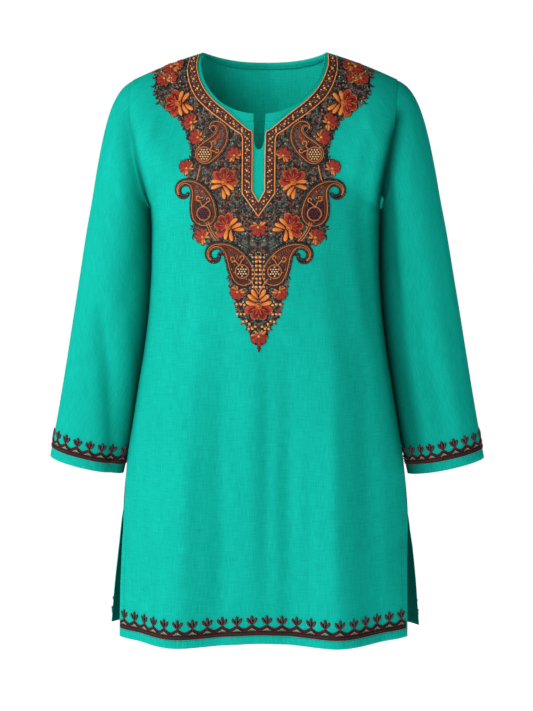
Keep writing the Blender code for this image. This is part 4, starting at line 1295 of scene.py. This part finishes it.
def add_ground(thread, spacing, seed):
    """Small sprigs all over the worked ground: places on a shaken grid inside the outline, each a
    bent stem with leaves on both sides of it."""
    dice = np.random.default_rng(seed)
    outline = mm(*YOKE_OUTLINE)
    low, high = outline.min(axis=0), outline.max(axis=0)
    a, b = np.meshgrid(np.arange(low[0], high[0], spacing), np.arange(low[1], high[1], spacing))
    places = np.stack([a, b], axis=-1).reshape(-1, 2)
    places += dice.uniform(-0.36, 0.36, places.shape) * spacing
    places = places[inside_outline(places, outline)]
    for place, size in hidden_places():
        places = places[np.linalg.norm(places - place, axis=1) > size]
    count = len(places)
    bearing = dice.uniform(0.0, 360.0, count)
    bend = dice.uniform(-0.7, 0.7, count)
    length = dice.uniform(0.0062, 0.0092, count)
    tones = np.array([PLUM, BROWN, TEAL_GREY, RUST, CREAM * 0.35, DEEP_RED * 0.5 + BROWN * 0.5])
    odds = (0.26, 0.24, 0.28, 0.07, 0.09, 0.06)
    leaf_half, leaf_rise = 0.00120, 0.00065
    form = np.array([0.35, 1.0, 0.12])
    tone = tones[dice.choice(len(tones), count, p=odds)]
    t = np.linspace(0.0, 1.0, 5)
    out, side = turned(bearing)[:, None, :], turned(bearing + 90.0)[:, None, :]
    along = (t - 0.5)[None, :, None] * length[:, None, None]
    swing = (t * t)[None, :, None] * (bend * length)[:, None, None]
    stems = places[:, None, :] + out * along + side * swing
    thread.lay(stems, 0.00042, 0.00050, tone[:, None, :] * 0.8, 0.0004, twist=0.5, section_of=LOW)
    for part, lean in ((1, 58.0), (1, -58.0), (2, 52.0), (2, -52.0), (3, 40.0), (3, -40.0), (4, 4.0)):
        size = dice.uniform(0.0030, 0.0046, count)
        angle = bearing + lean + dice.uniform(-14.0, 14.0, count)
        u = np.array([0.0, 0.5, 1.0])
        leaf = stems[:, part, None, :] + turned(angle)[:, None, :] * (size[:, None] * u)[..., None]
        mixed = tones[dice.choice(len(tones), count, p=odds)]
        thread.lay(leaf, leaf_half * form, leaf_rise * form, mixed[:, None, :], 0.0004,
                   section_of=LOW)


def add_fringe(thread, seed):
    """Leaves that point out of the worked ground here and there along its outer side, and a row of
    longer ones of uneven reach beside the shoulder."""
    dice = np.random.default_rng(seed)
    outer = smooth_line(mm(*YOKE_OUTLINE[:22]), 150)
    tangent = np.gradient(outer, axis=0)
    bearing = np.degrees(np.arctan2(tangent[:, 1], tangent[:, 0])) - 90.0
    kept = np.flatnonzero(dice.random(len(outer)) < 0.55)
    outer, bearing = outer[kept], bearing[kept]
    count = len(outer)
    size = dice.uniform(0.0026, 0.0050, count)
    angle = bearing + dice.uniform(-55.0, 55.0, count)
    u = np.array([-0.35, 0.1, 0.45, 0.8, 1.0])
    leaf = outer[:, None, :] + turned(angle)[:, None, :] * (size[:, None] * u)[..., None]
    leaf_half, leaf_rise = 0.00125, 0.0006
    form = np.array([0.3, 0.8, 1.0, 0.7, 0.12])
    tones = np.array([PLUM, BROWN, TEAL_GREY, RUST])
    mixed = tones[dice.choice(4, count, p=(0.35, 0.3, 0.25, 0.1))]
    thread.lay(leaf, leaf_half * form, leaf_rise * form, mixed[:, None, :], 0.0003, section_of=LOW)
    down = np.linspace(0.0, 1.0, 8)
    foot = np.stack([-0.1500 + 0.012 * down**3, -0.036 - 0.040 * down], axis=-1)
    reach = np.array([9.5, 4.0, 11.0, 5.0, 9.0, 6.5, 10.0, 5.0]) * 0.001
    u = np.linspace(0.0, 1.0, 6)
    way = turned(188.0 + 26.0 * down)[:, None, :]
    leaf = foot[:, None, :] + way * (reach[:, None] * u)[..., None]
    leaf[:, :, 1] += (0.0012 * np.sin(u * 7.0))[None, :]
    tone = np.where(np.arange(8)[:, None, None] % 4 == 3, TEAL_GREY, PLUM)
    half = np.array([0.9, 1.2, 0.8, 1.2, 0.9, 0.15]) * 0.0011
    thread.lay(leaf, half, 0.0008, tone, 0.0004, twist=0.4)


# Borders and stitching


def border_line(share, count=220):
    """Half of the neck border's line at a share of its breadth, from the shoulder to its point:
    a smooth curve through its places, and straight to the point from the last but one."""
    rows = np.array(BORDER_PLACES)
    last = len(rows) - 1
    t = np.linspace(0.0, last, 400)
    upper = np.minimum(t, last - 1)
    edges = [np.where(t <= last - 1, curve_through(upper, np.arange(last), rows[:-1, i]),
                      np.interp(t, np.arange(last + 1), rows[:, i])) for i in range(4)]
    inner, outer = np.stack(edges[:2], axis=-1), np.stack(edges[2:], axis=-1)
    line = inner + (outer - inner) * share
    at = distances(line)
    return points_at(np.linspace(0.0, at[-1], count), at, line)


def whole_border(share, count=220):
    """The line from the right shoulder round the point to the left shoulder."""
    half = border_line(share, count)
    return np.concatenate([half * (-1.0, 1.0), half[-2::-1]])


def add_border_beads(beads, seed):
    """Stones along the middle of half the neck border, orange and maroon in turn, a loose row of
    small beads on each side of them, and specks scattered over the border's breadth."""
    dice = np.random.default_rng(seed)
    middle = border_line(0.5, 400)
    at = distances(middle)
    stones = points_at(np.arange(0.004, at[-1] - 0.002, 0.0074), at, middle)
    beads.beads(stones[::2], 0.0019, LIGHT_ORANGE, 0.0017)
    beads.beads(stones[1::2], 0.0017, MAROON, 0.0017)
    small = np.arange(0.002, at[-1] - 0.002, 0.0037)
    for share, phase in ((0.33, 0), (0.67, 1)):
        loose = small[phase::2] + dice.uniform(-0.0012, 0.0012, len(small[phase::2]))
        row = points_at(loose, at, border_line(share, 400))
        beads.beads(row, dice.uniform(0.0007, 0.0011, len(row)), CREAM, 0.0015)
    speck = dice.uniform(0.003, at[-1] - 0.003, 430)
    shares = dice.uniform(0.26, 0.74, len(speck))[:, None]
    inner, outer = (points_at(speck, at, border_line(edge, 400)) for edge in (0.0, 1.0))
    tones = np.array([CREAM, INK, TEAL_GREY, ORANGE, RED, GOLD * 1.3, RUST, GOLD, TEAL_GREY * 1.6,
                      BROWN])
    size = dice.uniform(0.0005, 0.0010, len(speck))
    beads.beads(inner * (1.0 - shares) + outer * shares, size,
                tones[dice.integers(0, len(tones), len(speck))], 0.0013, section_of=LOW)


def hem_map(side):
    """A surface for the hem's border, and half its length: the first direction is the length
    along the cloth from its middle, summed over even steps of x, the second the height over the
    hem."""
    edge = float(level(HEM_Z, side + "_edge_x"))
    x = np.linspace(-edge, edge, 401)
    y = surface_y(x, hem_height(x, side) + 0.025, side)
    s = distances(np.stack([x, y], axis=-1))
    s -= s[len(s) // 2]
    way = 1.0 if side == "front" else -1.0

    def surface(a, b):
        """The panel's face at that length and height."""
        x_at = np.interp(a * way, s, x)
        return on_panel(x_at, hem_height(x_at, side) + b, side)

    return surface, s[-1]


def cuff_map(grid, mirror):
    """A surface for a cuff's border, and its length: the first direction is the length round the
    cuff, the second the height over its edge, both found between the sleeve's rings by shares."""
    normals = sleeve_normals(grid)
    count = grid.shape[1]
    ring = np.concatenate([grid[-1], grid[-1, :1]])
    s = distances(ring)
    spacing = np.linalg.norm(grid[-1] - grid[-9], axis=1) / 8

    def between(values, row, column):
        """Values of the grid mixed in proportion between the four points round a place."""
        i = np.clip(row.astype(int), 0, len(values) - 2)
        j = column.astype(int) % count
        k = (j + 1) % count
        u = (row - i)[:, None]
        v = (column - np.floor(column))[:, None]
        upper = values[i, j] * (1 - v) + values[i, k] * v
        lower = values[i + 1, j] * (1 - v) + values[i + 1, k] * v
        return upper * (1 - u) + lower * u

    def surface(a, b):
        """The sleeve's face at that length and height."""
        column = np.interp((-mirror * a) % s[-1], s, np.arange(count + 1.0))
        row = len(grid) - 1 - b / spacing[column.astype(int) % count]
        normal = between(normals, row, column)
        return between(grid, row, column), normal / np.linalg.norm(normal, axis=-1, keepdims=True)

    return surface, s[-1]


MOTIF_PITCH = 0.022
BUD_FOOT = np.array([0.0, 16.4])


def add_border_motifs(thread, start, end, pitch, low, scale, closed):
    """A band between two cords, arches on it and a three-lobed bud on each. Every shape is one
    motif's, repeated at even distances that come closest to the pitch. An arch's leg rises as a
    power of the way to its top."""
    count = max(int(round((end - start) / pitch)), 1)
    pitch = (end - start) / count
    middle = start + pitch * (np.arange(count) + 0.5)
    across = pitch / MOTIF_PITCH
    length = np.linspace(start, end, int((end - start) / 0.0025) + 1)
    for height, half, colour, lift in (
        (0.3, 0.0010, MAROON, 0.0003),
        (3.3, 0.0025, INK * 0.6, 0.0001),
        (2.5, 0.0004, TEAL_GREY * 0.5, 0.0007),
        (4.2, 0.0004, BROWN * 0.6, 0.0007),
        (6.3, 0.0009, MAROON, 0.0003),
    ):
        line = np.stack([length, np.full_like(length, low + height * 0.001 * scale)], axis=-1)
        thread.lay(line[:-1] if closed else line, half * scale, 0.0009, colour, lift,
                   closed=closed, twist=0.4, section_of=LOW)

    def each(shape, half, height, colour, lift=0.0003, twist=0.0):
        """Lay a shape, given in millimetres from its motif's foot, in every motif."""
        shape = np.asarray(shape, float) * 0.001 * (across, scale)
        x = middle[:, None] + shape[None, :, 0]
        z = np.broadcast_to(low + shape[None, :, 1], x.shape)
        thread.lay(np.stack([x, z], axis=-1), np.asarray(half) * 0.001 * scale, height, colour, lift,
                   twist=twist, section_of=LOW)

    u = np.linspace(0.0, 1.0, 6)
    for way in (-1.0, 1.0):
        leg = np.stack([way * 11.0 * (1.0 - u), 8.3 + 5.2 * u**1.5], axis=-1)
        each(leg, 2.5, 0.0008, INK * 0.6, 0.0002)
        each(leg + (0.0, 1.7), 0.62, 0.0013, MAROON, 0.0004, 0.4)
        each(leg[1:] * (0.93, 1.0) - (0.0, 1.5), 0.62, 0.0013, MAROON, 0.0004, 0.4)
        inside = leg[2:] * (0.86, 1.0) - (0.0, 2.9)
        each(inside, 0.42, 0.0010, CREAM * 0.75 + TEAL_GREY * 0.2, 0.0003)
    t = (1.0 - np.cos(math.pi * np.linspace(0.0, 1.0, 6))) / 2
    form = np.maximum(petal_half(np.minimum(t, 0.99)), 0.10)
    half = 3.7
    for degrees, bend, reach, lift in (
        (32.0, 0.42, 11.0, 0.0003), (148.0, -0.42, 11.0, 0.0003), (90.0, 0.0, 13.2, 0.0007),
    ):
        out, side = turned(degrees), turned(degrees + 90.0)
        lobe = BUD_FOOT + out * (reach * t)[:, None] + side * (bend * reach * t * t)[:, None]
        each(lobe, half * form, 0.0009, MAROON, lift, 0.3)
        inner = BUD_FOOT + (lobe - lobe[0]) * 0.84 + out * 1.0
        each(inner, half * 0.50 * form, 0.0012, INK * 0.5 + TEAL_GREY * 0.45, lift + 0.0004)
    each([(0.0, 12.4), (0.0, 14.2), (0.0, 16.6), (0.0, 18.8)], 1.3, 0.0014, MAROON, 0.0008)


def add_stitches(thread, line, stitch=0.0026, gap=0.0014):
    """Running stitches along a line: short rounded lengths of thread in a dark tone of the cloth,
    with gaps between them."""
    line = np.asarray(line, float)
    at = distances(line)
    start = np.arange(gap, at[-1] - stitch, stitch + gap)
    wanted = start[:, None] + np.linspace(0.0, stitch, 4)
    half = np.array([0.12, 0.34, 0.34, 0.12]) * 0.001
    rise = np.array([0.08, 0.28, 0.28, 0.08]) * 0.001
    thread.lay(points_at(wanted, at, line), half, rise, STITCH, section_of=LOW)


# Settings


class KurtiClothSettings(bpy.types.PropertyGroup):
    """Sizes and colours of the cloth."""

    light: bpy.props.FloatVectorProperty(
        name="Light thread", description="Colour of the lighter threads", subtype="COLOR", size=3,
        min=0.0, max=1.0, default=linear(22, 190, 172))
    dark: bpy.props.FloatVectorProperty(
        name="Dark thread", description="Colour of the darker threads", subtype="COLOR", size=3,
        min=0.0, max=1.0, default=linear(8, 146, 129))


class KurtiStageSettings(bpy.types.PropertyGroup):
    """Camera and light of the studio."""

    lens: bpy.props.FloatProperty(
        name="Lens", description="Focal length of the camera", subtype="DISTANCE_CAMERA",
        default=96.0)
    azimuth: bpy.props.FloatProperty(
        name="Azimuth", description="Turn of the camera round the garment", subtype="ANGLE",
        default=math.radians(4.5))
    elevation: bpy.props.FloatProperty(
        name="Elevation", description="Height angle of the camera", subtype="ANGLE",
        default=math.radians(7.0))
    distance: bpy.props.FloatProperty(
        name="Distance", description="From the camera to the garment", subtype="DISTANCE",
        unit="LENGTH", default=2.8)
    key_power: bpy.props.FloatProperty(
        name="Key light", description="Power of the main soft light", unit="POWER", default=47.0)
    front_power: bpy.props.FloatProperty(
        name="Front light", description="Power of the soft light in front", unit="POWER",
        default=51.0)
    surround: bpy.props.FloatProperty(
        name="Surround", description="Strength of the even light from all round", default=0.33)


CAMERA_TARGET = (0.00254, 0.0, -0.44236)


# Operators


def finished(name, make):
    """The finish of that name, made once."""
    return bpy.data.materials.get(name) or make()


def cloth_finish(context):
    """The teal weave in the colours of the settings."""
    light, dark = (tuple(colour) for colour in (context.scene.kurti_cloth.light,
                                                context.scene.kurti_cloth.dark))
    return finished("teal cloth", lambda: cloth_material("teal cloth", light, light, dark))


def thread_finish():
    """Spun thread for every embroidered piece."""
    return finished("embroidery thread", thread_material)


def bead_finish():
    """Glass and gilt for every bead."""
    return finished("beads", bead_material)


class KURTI_OT_panels(bpy.types.Operator):
    """Front and back, each a thin shell with its folds and creases"""

    bl_idname = "kurti.panels"
    bl_label = "Front and back"

    def execute(self, context):
        finish = cloth_finish(context)
        for side, flat, area in (("front", (0.53, 0.89), 0.388), ("back", (0.53, 0.89), 0.398)):
            grid = panel_grid(side)
            tone = cloth_tone_with_painted_light(grid[..., 2], grid[..., 2] - hem_height(grid[..., 0], side))
            # Painted shade along the panels' edges beside the sleeves and along the armhole, copied to
            # the inner face at the edge columns
            tone[0][..., 0] *= edge_painted_shade(grid, side)
            for column in (0, -1):
                tone[1][:, column, 0] = np.minimum(tone[0][:, column, 0], tone[1][:, column, 0])
            piece = make_wall("cloth_" + side, grid, inner_face(grid, side), finish, tone=tone)
            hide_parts(side)
            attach(piece, "root")
        return {"FINISHED"}


class KURTI_OT_sleeves(bpy.types.Operator):
    """Both sleeves, each a tube that starts at its armhole"""

    bl_idname = "kurti.sleeves"
    bl_label = "Sleeves"

    def execute(self, context):
        finish = cloth_finish(context)
        front, back = panel_grid("front"), panel_grid("back")
        for name, mirror in (("left", 1.0), ("right", -1.0)):
            grid = sleeve_grid(front, back, mirror)
            inner = grid - WALL * sleeve_normals(grid)
            to_cuff = np.linalg.norm(grid - grid[-1:], axis=-1)
            tone = cloth_tone_with_painted_light(grid[..., 2], to_cuff)
            # Painted shade where the sleeve lies close to the body and beside the armhole seam, copied
            # to the inner face over the first rings
            tone[0][..., 0] *= hollow_painted_shade(grid, name)
            near = slice(0, PAINTED_SHADE_SEAM_RINGS)
            tone[1][near, :, 0] = np.minimum(tone[0][near, :, 0], tone[1][near, :, 0])
            piece = make_wall("cloth_sleeve_" + name, grid, inner, finish, around=True, tone=tone)
            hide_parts("sleeve_" + name)
            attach(piece, "root")
        return {"FINISHED"}


class KURTI_OT_facing(bpy.types.Operator):
    """Narrow facing turned to the inside of the back neck"""

    bl_idname = "kurti.facing"
    bl_label = "Back neck facing"

    def execute(self, context):
        cloth = context.scene.kurti_cloth
        # Painted light: the facing's colours made brighter by a constant factor
        light, dark = (tuple(np.array(colour) * FACING_PAINTED_LIGHT) for colour in (cloth.light, cloth.dark))
        finish = cloth_material("teal facing", tuple(cloth.dark), light, dark)
        x = np.linspace(-1.0, 1.0, 141) * (FACING_HALF_WIDTH + FACING_END)
        share = np.linspace(0.0, 1.0, 9)
        top = back_neckline_z(x) - FACING_TOP_MARGIN
        drop = FACING_HEIGHT * (1.0 - 0.7 * (np.abs(x) / NECK_HALF_WIDTH) ** 10)
        z = top[None, :] - drop[None, :] * share[:, None]
        points, normals = on_panel(np.broadcast_to(x, z.shape), z, "back")
        outer = points - normals * (WALL + FACING_CLEARANCE)
        full = np.broadcast_to((1.0, 0.0, 1.0), outer.shape)
        inner = outer - normals * FACING_WALL
        piece = make_wall("neck_facing", outer, inner, finish, tone=(full, full))
        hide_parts("back_neck_facing")
        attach(piece, "root")
        return {"FINISHED"}


class KURTI_OT_neck_border(bpy.types.Operator):
    """Raised border round the neck and the slit, with its cords, stones and beads"""

    bl_idname = "kurti.neck_border"
    bl_label = "Neck border"

    def execute(self, context):
        shares = np.linspace(0.0, 1.0, 13)
        lines = np.stack([whole_border(share, 170) for share in shares], axis=1)
        points, normals = on_front(lines[..., 0], lines[..., 1])
        crown = BORDER_LIFT + BORDER_CROWN * (1.0 - (2.0 * shares - 1.0) ** 4)
        outer = points + normals * (BORDER_LIFT + crown)[None, :, None]
        inner = points + normals * BORDER_UNDER
        base = make_wall("neck_border_ground", outer, inner, border_ground_material())
        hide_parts("neck_border")
        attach(base, "root")
        cords = Thread()
        for share, half, colour in ((0.055, 0.00072, GOLD * 1.8), (0.175, 0.00044, BROWN * 0.8),
                                    (0.825, 0.00044, BROWN * 0.8), (0.945, 0.00072, GOLD * 1.8)):
            cords.lay(whole_border(share, 260), half, 0.0014, colour, 0.0010, twist=0.35)
        for way in (-1.0, 1.0):
            turn = np.array([way, 1.0])
            low = border_line(0.30, 64) * turn
            high = border_line(0.70, 64) * turn
            slant = low[:, None] + (high - low)[:, None] * np.linspace(0.1, 0.9, 5)[None, :, None]
            slant[:, :, 1] += np.linspace(-0.0018, 0.0018, 5)
            colour = np.where(np.arange(64)[:, None, None] % 2 == 0, RUST, BROWN)
            cords.lay(slant, 0.0005, 0.0006, colour, 0.0014)
        edge = whole_border(0.0, 400)
        neck = np.stack([edge[:, 0] * 0.955, edge[:, 1] + 0.0035], axis=-1)
        add_stitches(cords, neck[np.abs(neck[:, 0]) > 0.024])
        cords.piece("neck_border_cords", on_front, thread_finish())
        beads = Thread()
        add_border_beads(beads, 3)
        both_sides("neck_border_beads", beads, on_front, bead_finish())
        return {"FINISHED"}


class KURTI_OT_ground(bpy.types.Operator):
    """Close leaf work over the whole yoke, and the leaves along its outer side"""

    bl_idname = "kurti.yoke_ground"
    bl_label = "Yoke ground"

    def execute(self, context):
        points, faces, flat = ground_slab()
        slab = make_mesh("yoke_slab", points, faces, flat, ground_material())
        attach(slab, "root")
        thread = Thread()
        add_ground(thread, 0.0064, 7)
        add_fringe(thread, 11)
        both_sides("yoke_ground", thread, on_front, thread_finish())
        return {"FINISHED"}


class KURTI_OT_paisleys(bpy.types.Operator):
    """Six paisleys with their stems"""

    bl_idname = "kurti.paisleys"
    bl_label = "Paisleys"

    def execute(self, context):
        thread = Thread()
        stones = {"cream": LIGHT_ORANGE * 0.3 + CREAM * 0.9, "purple": PURPLE * 1.3}
        for number, paisley in enumerate(PAISLEYS):
            add_paisley(thread, *paisley[:-1], stones[paisley[-1]], number)
        for stem in STEMS:
            line = smooth_line(mm(*stem), 14)
            thread.lay(line, 0.00085, 0.0014, GOLD, 0.0008, twist=0.35)
        both_sides("paisleys", thread, on_front, thread_finish())
        return {"FINISHED"}


class KURTI_OT_flowers(bpy.types.Operator):
    """Open and half-open flowers of the yoke"""

    bl_idname = "kurti.flowers"
    bl_label = "Flowers"

    def execute(self, context):
        thread = Thread()
        for number, (place, facing, radius) in enumerate(SMALL_FLOWERS):
            add_flower(thread, place, facing, radius, number)
        for flower in BIG_FLOWERS:
            add_big_flower(thread, *flower)
        both_sides("flowers", thread, on_front, thread_finish())
        middle = Thread()
        for number, (place, facing, radius) in enumerate(MIDDLE_FLOWERS):
            add_flower(middle, place, facing, radius, 40 + number)
        add_big_flower(middle, *MIDDLE_FLOWER)
        add_petals(middle, mm(0, -413), 270.0, 0.012, 0.0028, BROWN, PLUM, 0.0006)
        middle.piece("middle_flowers", on_front, thread_finish())
        return {"FINISHED"}


class KURTI_OT_beads(bpy.types.Operator):
    """Beads of the yoke, in columns, in rows and scattered over its ground"""

    bl_idname = "kurti.yoke_beads"
    bl_label = "Yoke beads"

    def execute(self, context):
        beads = Thread()
        column = np.stack([np.full(8, -2.8), np.linspace(-289.0, -331.0, 8)], axis=-1) * 0.001
        beads.beads(column, 0.0022, LIGHT_ORANGE, 0.0006)
        beads.beads(column + mm(-5.2, 0.0), 0.0015, CREAM * 0.8, 0.0006)
        beads.beads(mm(*BEAD_ROWS), 0.0020, LIGHT_ORANGE, 0.0006)
        dice = np.random.default_rng(5)
        outline = mm(*YOKE_OUTLINE)
        low, high = outline.min(axis=0), outline.max(axis=0)
        places = dice.uniform(low, high, (700, 2))
        places = places[inside_outline(places, outline)]
        tones = np.array([CREAM * 1.05, GOLD, TEAL_GREY * 1.6, MAROON])
        size = dice.uniform(0.0006, 0.0011, len(places))
        beads.beads(places, size, tones[dice.integers(0, 4, len(places))], 0.0008, section_of=LOW)
        both_sides("yoke_beads", beads, on_front, bead_finish())
        return {"FINISHED"}


class KURTI_OT_hem(bpy.types.Operator):
    """Border of arches and buds along the hem of the front and of the back"""

    bl_idname = "kurti.hem_border"
    bl_label = "Hem border"

    def execute(self, context):
        for side in ("front", "back"):
            surface, reach = hem_map(side)
            thread = Thread()
            add_border_motifs(thread, -reach + 0.004, reach - 0.004, MOTIF_PITCH, 0.0133, 1.0, False)
            thread.piece("hem_border_" + side, surface, thread_finish())
            sewing = Thread()
            edge = float(level(HEM_Z, side + "_edge_x")) - 0.003
            x = np.linspace(-edge, edge, 301)
            add_stitches(sewing, np.stack([x, hem_height(x, side) + 0.0112], axis=-1))
            z = np.linspace(HEM_Z + 0.016, SLIT_SHOWS_Z - 0.004, 61)
            x = level(z, side + "_edge_x") - 0.0075
            for way in (-1.0, 1.0):
                add_stitches(sewing, np.stack([way * x, z], axis=-1))
            sewing.piece("stitches_" + side, lambda a, b: on_panel(a, b, side), thread_finish())
        return {"FINISHED"}


class KURTI_OT_cuffs(bpy.types.Operator):
    """The same border round both cuffs"""

    bl_idname = "kurti.cuff_border"
    bl_label = "Cuff borders"

    def execute(self, context):
        front, back = panel_grid("front"), panel_grid("back")
        for name, mirror in (("left", 1.0), ("right", -1.0)):
            surface, round_cuff = cuff_map(sleeve_grid(front, back, mirror), mirror)
            thread = Thread()
            add_border_motifs(thread, 0.0, round_cuff, 0.018, 0.0147, 0.97, True)
            thread.piece("cuff_border_" + name, surface, thread_finish())
        return {"FINISHED"}


FLOOR_HALF = 40.0
FLOOR_Z = -1.6
FLOOR_GLOW = 0.75
LIGHT_TARGET = (0.0, 0.0, -0.42)


def floor_material():
    """Pale paper with a faint change of tone from noise, and a glow of its own."""
    g = Graph("pale floor", (0.9, 0.9, 0.9))
    colour = g.mix(g.noise(g.place(), 3.0), (0.93, 0.93, 0.93), (0.97, 0.97, 0.97))
    return g.finish(colour, Roughness=0.9, Emission_Color=(1.0, 1.0, 1.0, 1.0),
                    Emission_Strength=FLOOR_GLOW)


def map_range(nodes, kind, *ends):
    """A node that maps the first two ends to the last two, evenly or softly."""
    node = nodes.new("ShaderNodeMapRange")
    node.interpolation_type = kind
    for key, value in zip(("From Min", "From Max", "To Min", "To Max"), ends):
        node.inputs[key].default_value = value
    return node


def studio_world(surround):
    """White behind the garment, and elsewhere a grey surround that falls off along a slant from
    the lower left to the upper right: the strength is one map of the bearing inside another."""
    world = bpy.data.worlds.new("Studio")
    world.use_nodes = True
    nodes, links = world.node_tree.nodes, world.node_tree.links
    background = nodes["Background"]
    background.inputs["Color"].default_value = (1.0, 1.0, 1.0, 1.0)
    bearing = nodes.new("ShaderNodeTexCoord").outputs["Generated"]
    split = nodes.new("ShaderNodeSeparateXYZ")
    lit = map_range(nodes, "SMOOTHSTEP", 0.70, 0.90, surround, 1.0)
    falling = map_range(nodes, "LINEAR", -0.6, 0.9, 1.15 * surround, 0.36 * surround)
    slant = nodes.new("ShaderNodeVectorMath")
    slant.operation = "DOT_PRODUCT"
    slant.inputs[1].default_value = (1.0, 0.0, 0.7)
    links.new(bearing, slant.inputs[0])
    links.new(slant.outputs["Value"], falling.inputs["Value"])
    links.new(falling.outputs["Result"], lit.inputs["To Min"])
    links.new(bearing, split.inputs[0])
    links.new(split.outputs["Y"], lit.inputs["Value"])
    links.new(lit.outputs["Result"], background.inputs["Strength"])
    return world


class KURTI_OT_stage(bpy.types.Operator):
    """Pale floor, a white wall of light behind, soft lights and the camera at the photograph's angle"""

    bl_idname = "kurti.stage"
    bl_label = "Studio"

    def execute(self, context):
        scene = context.scene
        stage = scene.kurti_stage
        corners = np.array([(-1, -1, 0), (1, -1, 0), (1, 1, 0), (-1, 1, 0)]) * FLOOR_HALF
        corners[:, 2] = FLOOR_Z
        faces = np.array([[0, 1, 2, 3]])
        floor = make_mesh("floor", corners, faces, corners[:, :2], floor_material())
        scene.world = studio_world(stage.surround)
        self.light("Key", (-2.9, -1.4, 0.5), 1.7, stage.key_power)
        self.light("Front", (-1.35, -2.9, 0.9), 2.0, stage.front_power)
        eye = bpy.data.cameras.new("Camera")
        eye.sensor_width = 36.0
        eye.lens = stage.lens
        camera = bpy.data.objects.new("Camera", eye)
        scene.collection.objects.link(camera)
        a, e = stage.azimuth, stage.elevation
        back = np.array([math.sin(a) * math.cos(e), -math.cos(a) * math.cos(e), math.sin(e)])
        camera.location = np.array(CAMERA_TARGET) + stage.distance * back
        camera.rotation_euler = (math.pi / 2 - e, 0.0, a)
        scene.camera = camera
        scene.view_settings.view_transform = "Standard"
        return {"FINISHED"}

    def light(self, name, place, size, power):
        """A round lamp at a place, turned towards the middle of the garment."""
        lamp = bpy.data.lights.new(name, "AREA")
        lamp.shape = "DISK"
        lamp.size = size
        lamp.energy = power
        lit = bpy.data.objects.new(name, lamp)
        lit.location = place
        aim = np.array(LIGHT_TARGET) - np.array(place)
        lit.rotation_euler = (math.acos(-aim[2] / np.linalg.norm(aim)), 0.0,
                              math.atan2(aim[1], aim[0]) - math.pi / 2)
        bpy.context.scene.collection.objects.link(lit)


class KURTI_PT_panel(bpy.types.Panel):
    """The steps that build the kurti, in order"""

    bl_idname = "KURTI_PT_panel"
    bl_label = "Kurti"
    bl_space_type = "VIEW_3D"
    bl_region_type = "UI"
    bl_category = "Kurti"

    def draw(self, context):
        """A button for each step, then the settings."""
        for step in STEPS:
            self.layout.operator(step.bl_idname)
        for settings in (context.scene.kurti_cloth, context.scene.kurti_stage):
            for key in settings.__annotations__:
                self.layout.prop(settings, key)


STEPS = (
    KURTI_OT_panels, KURTI_OT_sleeves, KURTI_OT_facing, KURTI_OT_neck_border, KURTI_OT_ground,
    KURTI_OT_paisleys, KURTI_OT_flowers, KURTI_OT_beads, KURTI_OT_hem, KURTI_OT_cuffs, KURTI_OT_stage,
)
SETTINGS = {"kurti_cloth": KurtiClothSettings, "kurti_stage": KurtiStageSettings}


def register():
    """Add the settings, the steps and the panel."""
    for group in SETTINGS.values():
        bpy.utils.register_class(group)
    for key, group in SETTINGS.items():
        setattr(bpy.types.Scene, key, bpy.props.PointerProperty(type=group))
    for step in (*STEPS, KURTI_PT_panel):
        bpy.utils.register_class(step)


def unregister():
    """Take all of them away again."""
    for step in (KURTI_PT_panel, *STEPS[::-1]):
        bpy.utils.unregister_class(step)
    for key in SETTINGS:
        delattr(bpy.types.Scene, key)
    for group in SETTINGS.values():
        bpy.utils.unregister_class(group)


def main():
    register()
    for step in STEPS:
        family, name = step.bl_idname.split(".")
        getattr(getattr(bpy.ops, family), name)()


if __name__ == "__main__":
    main()
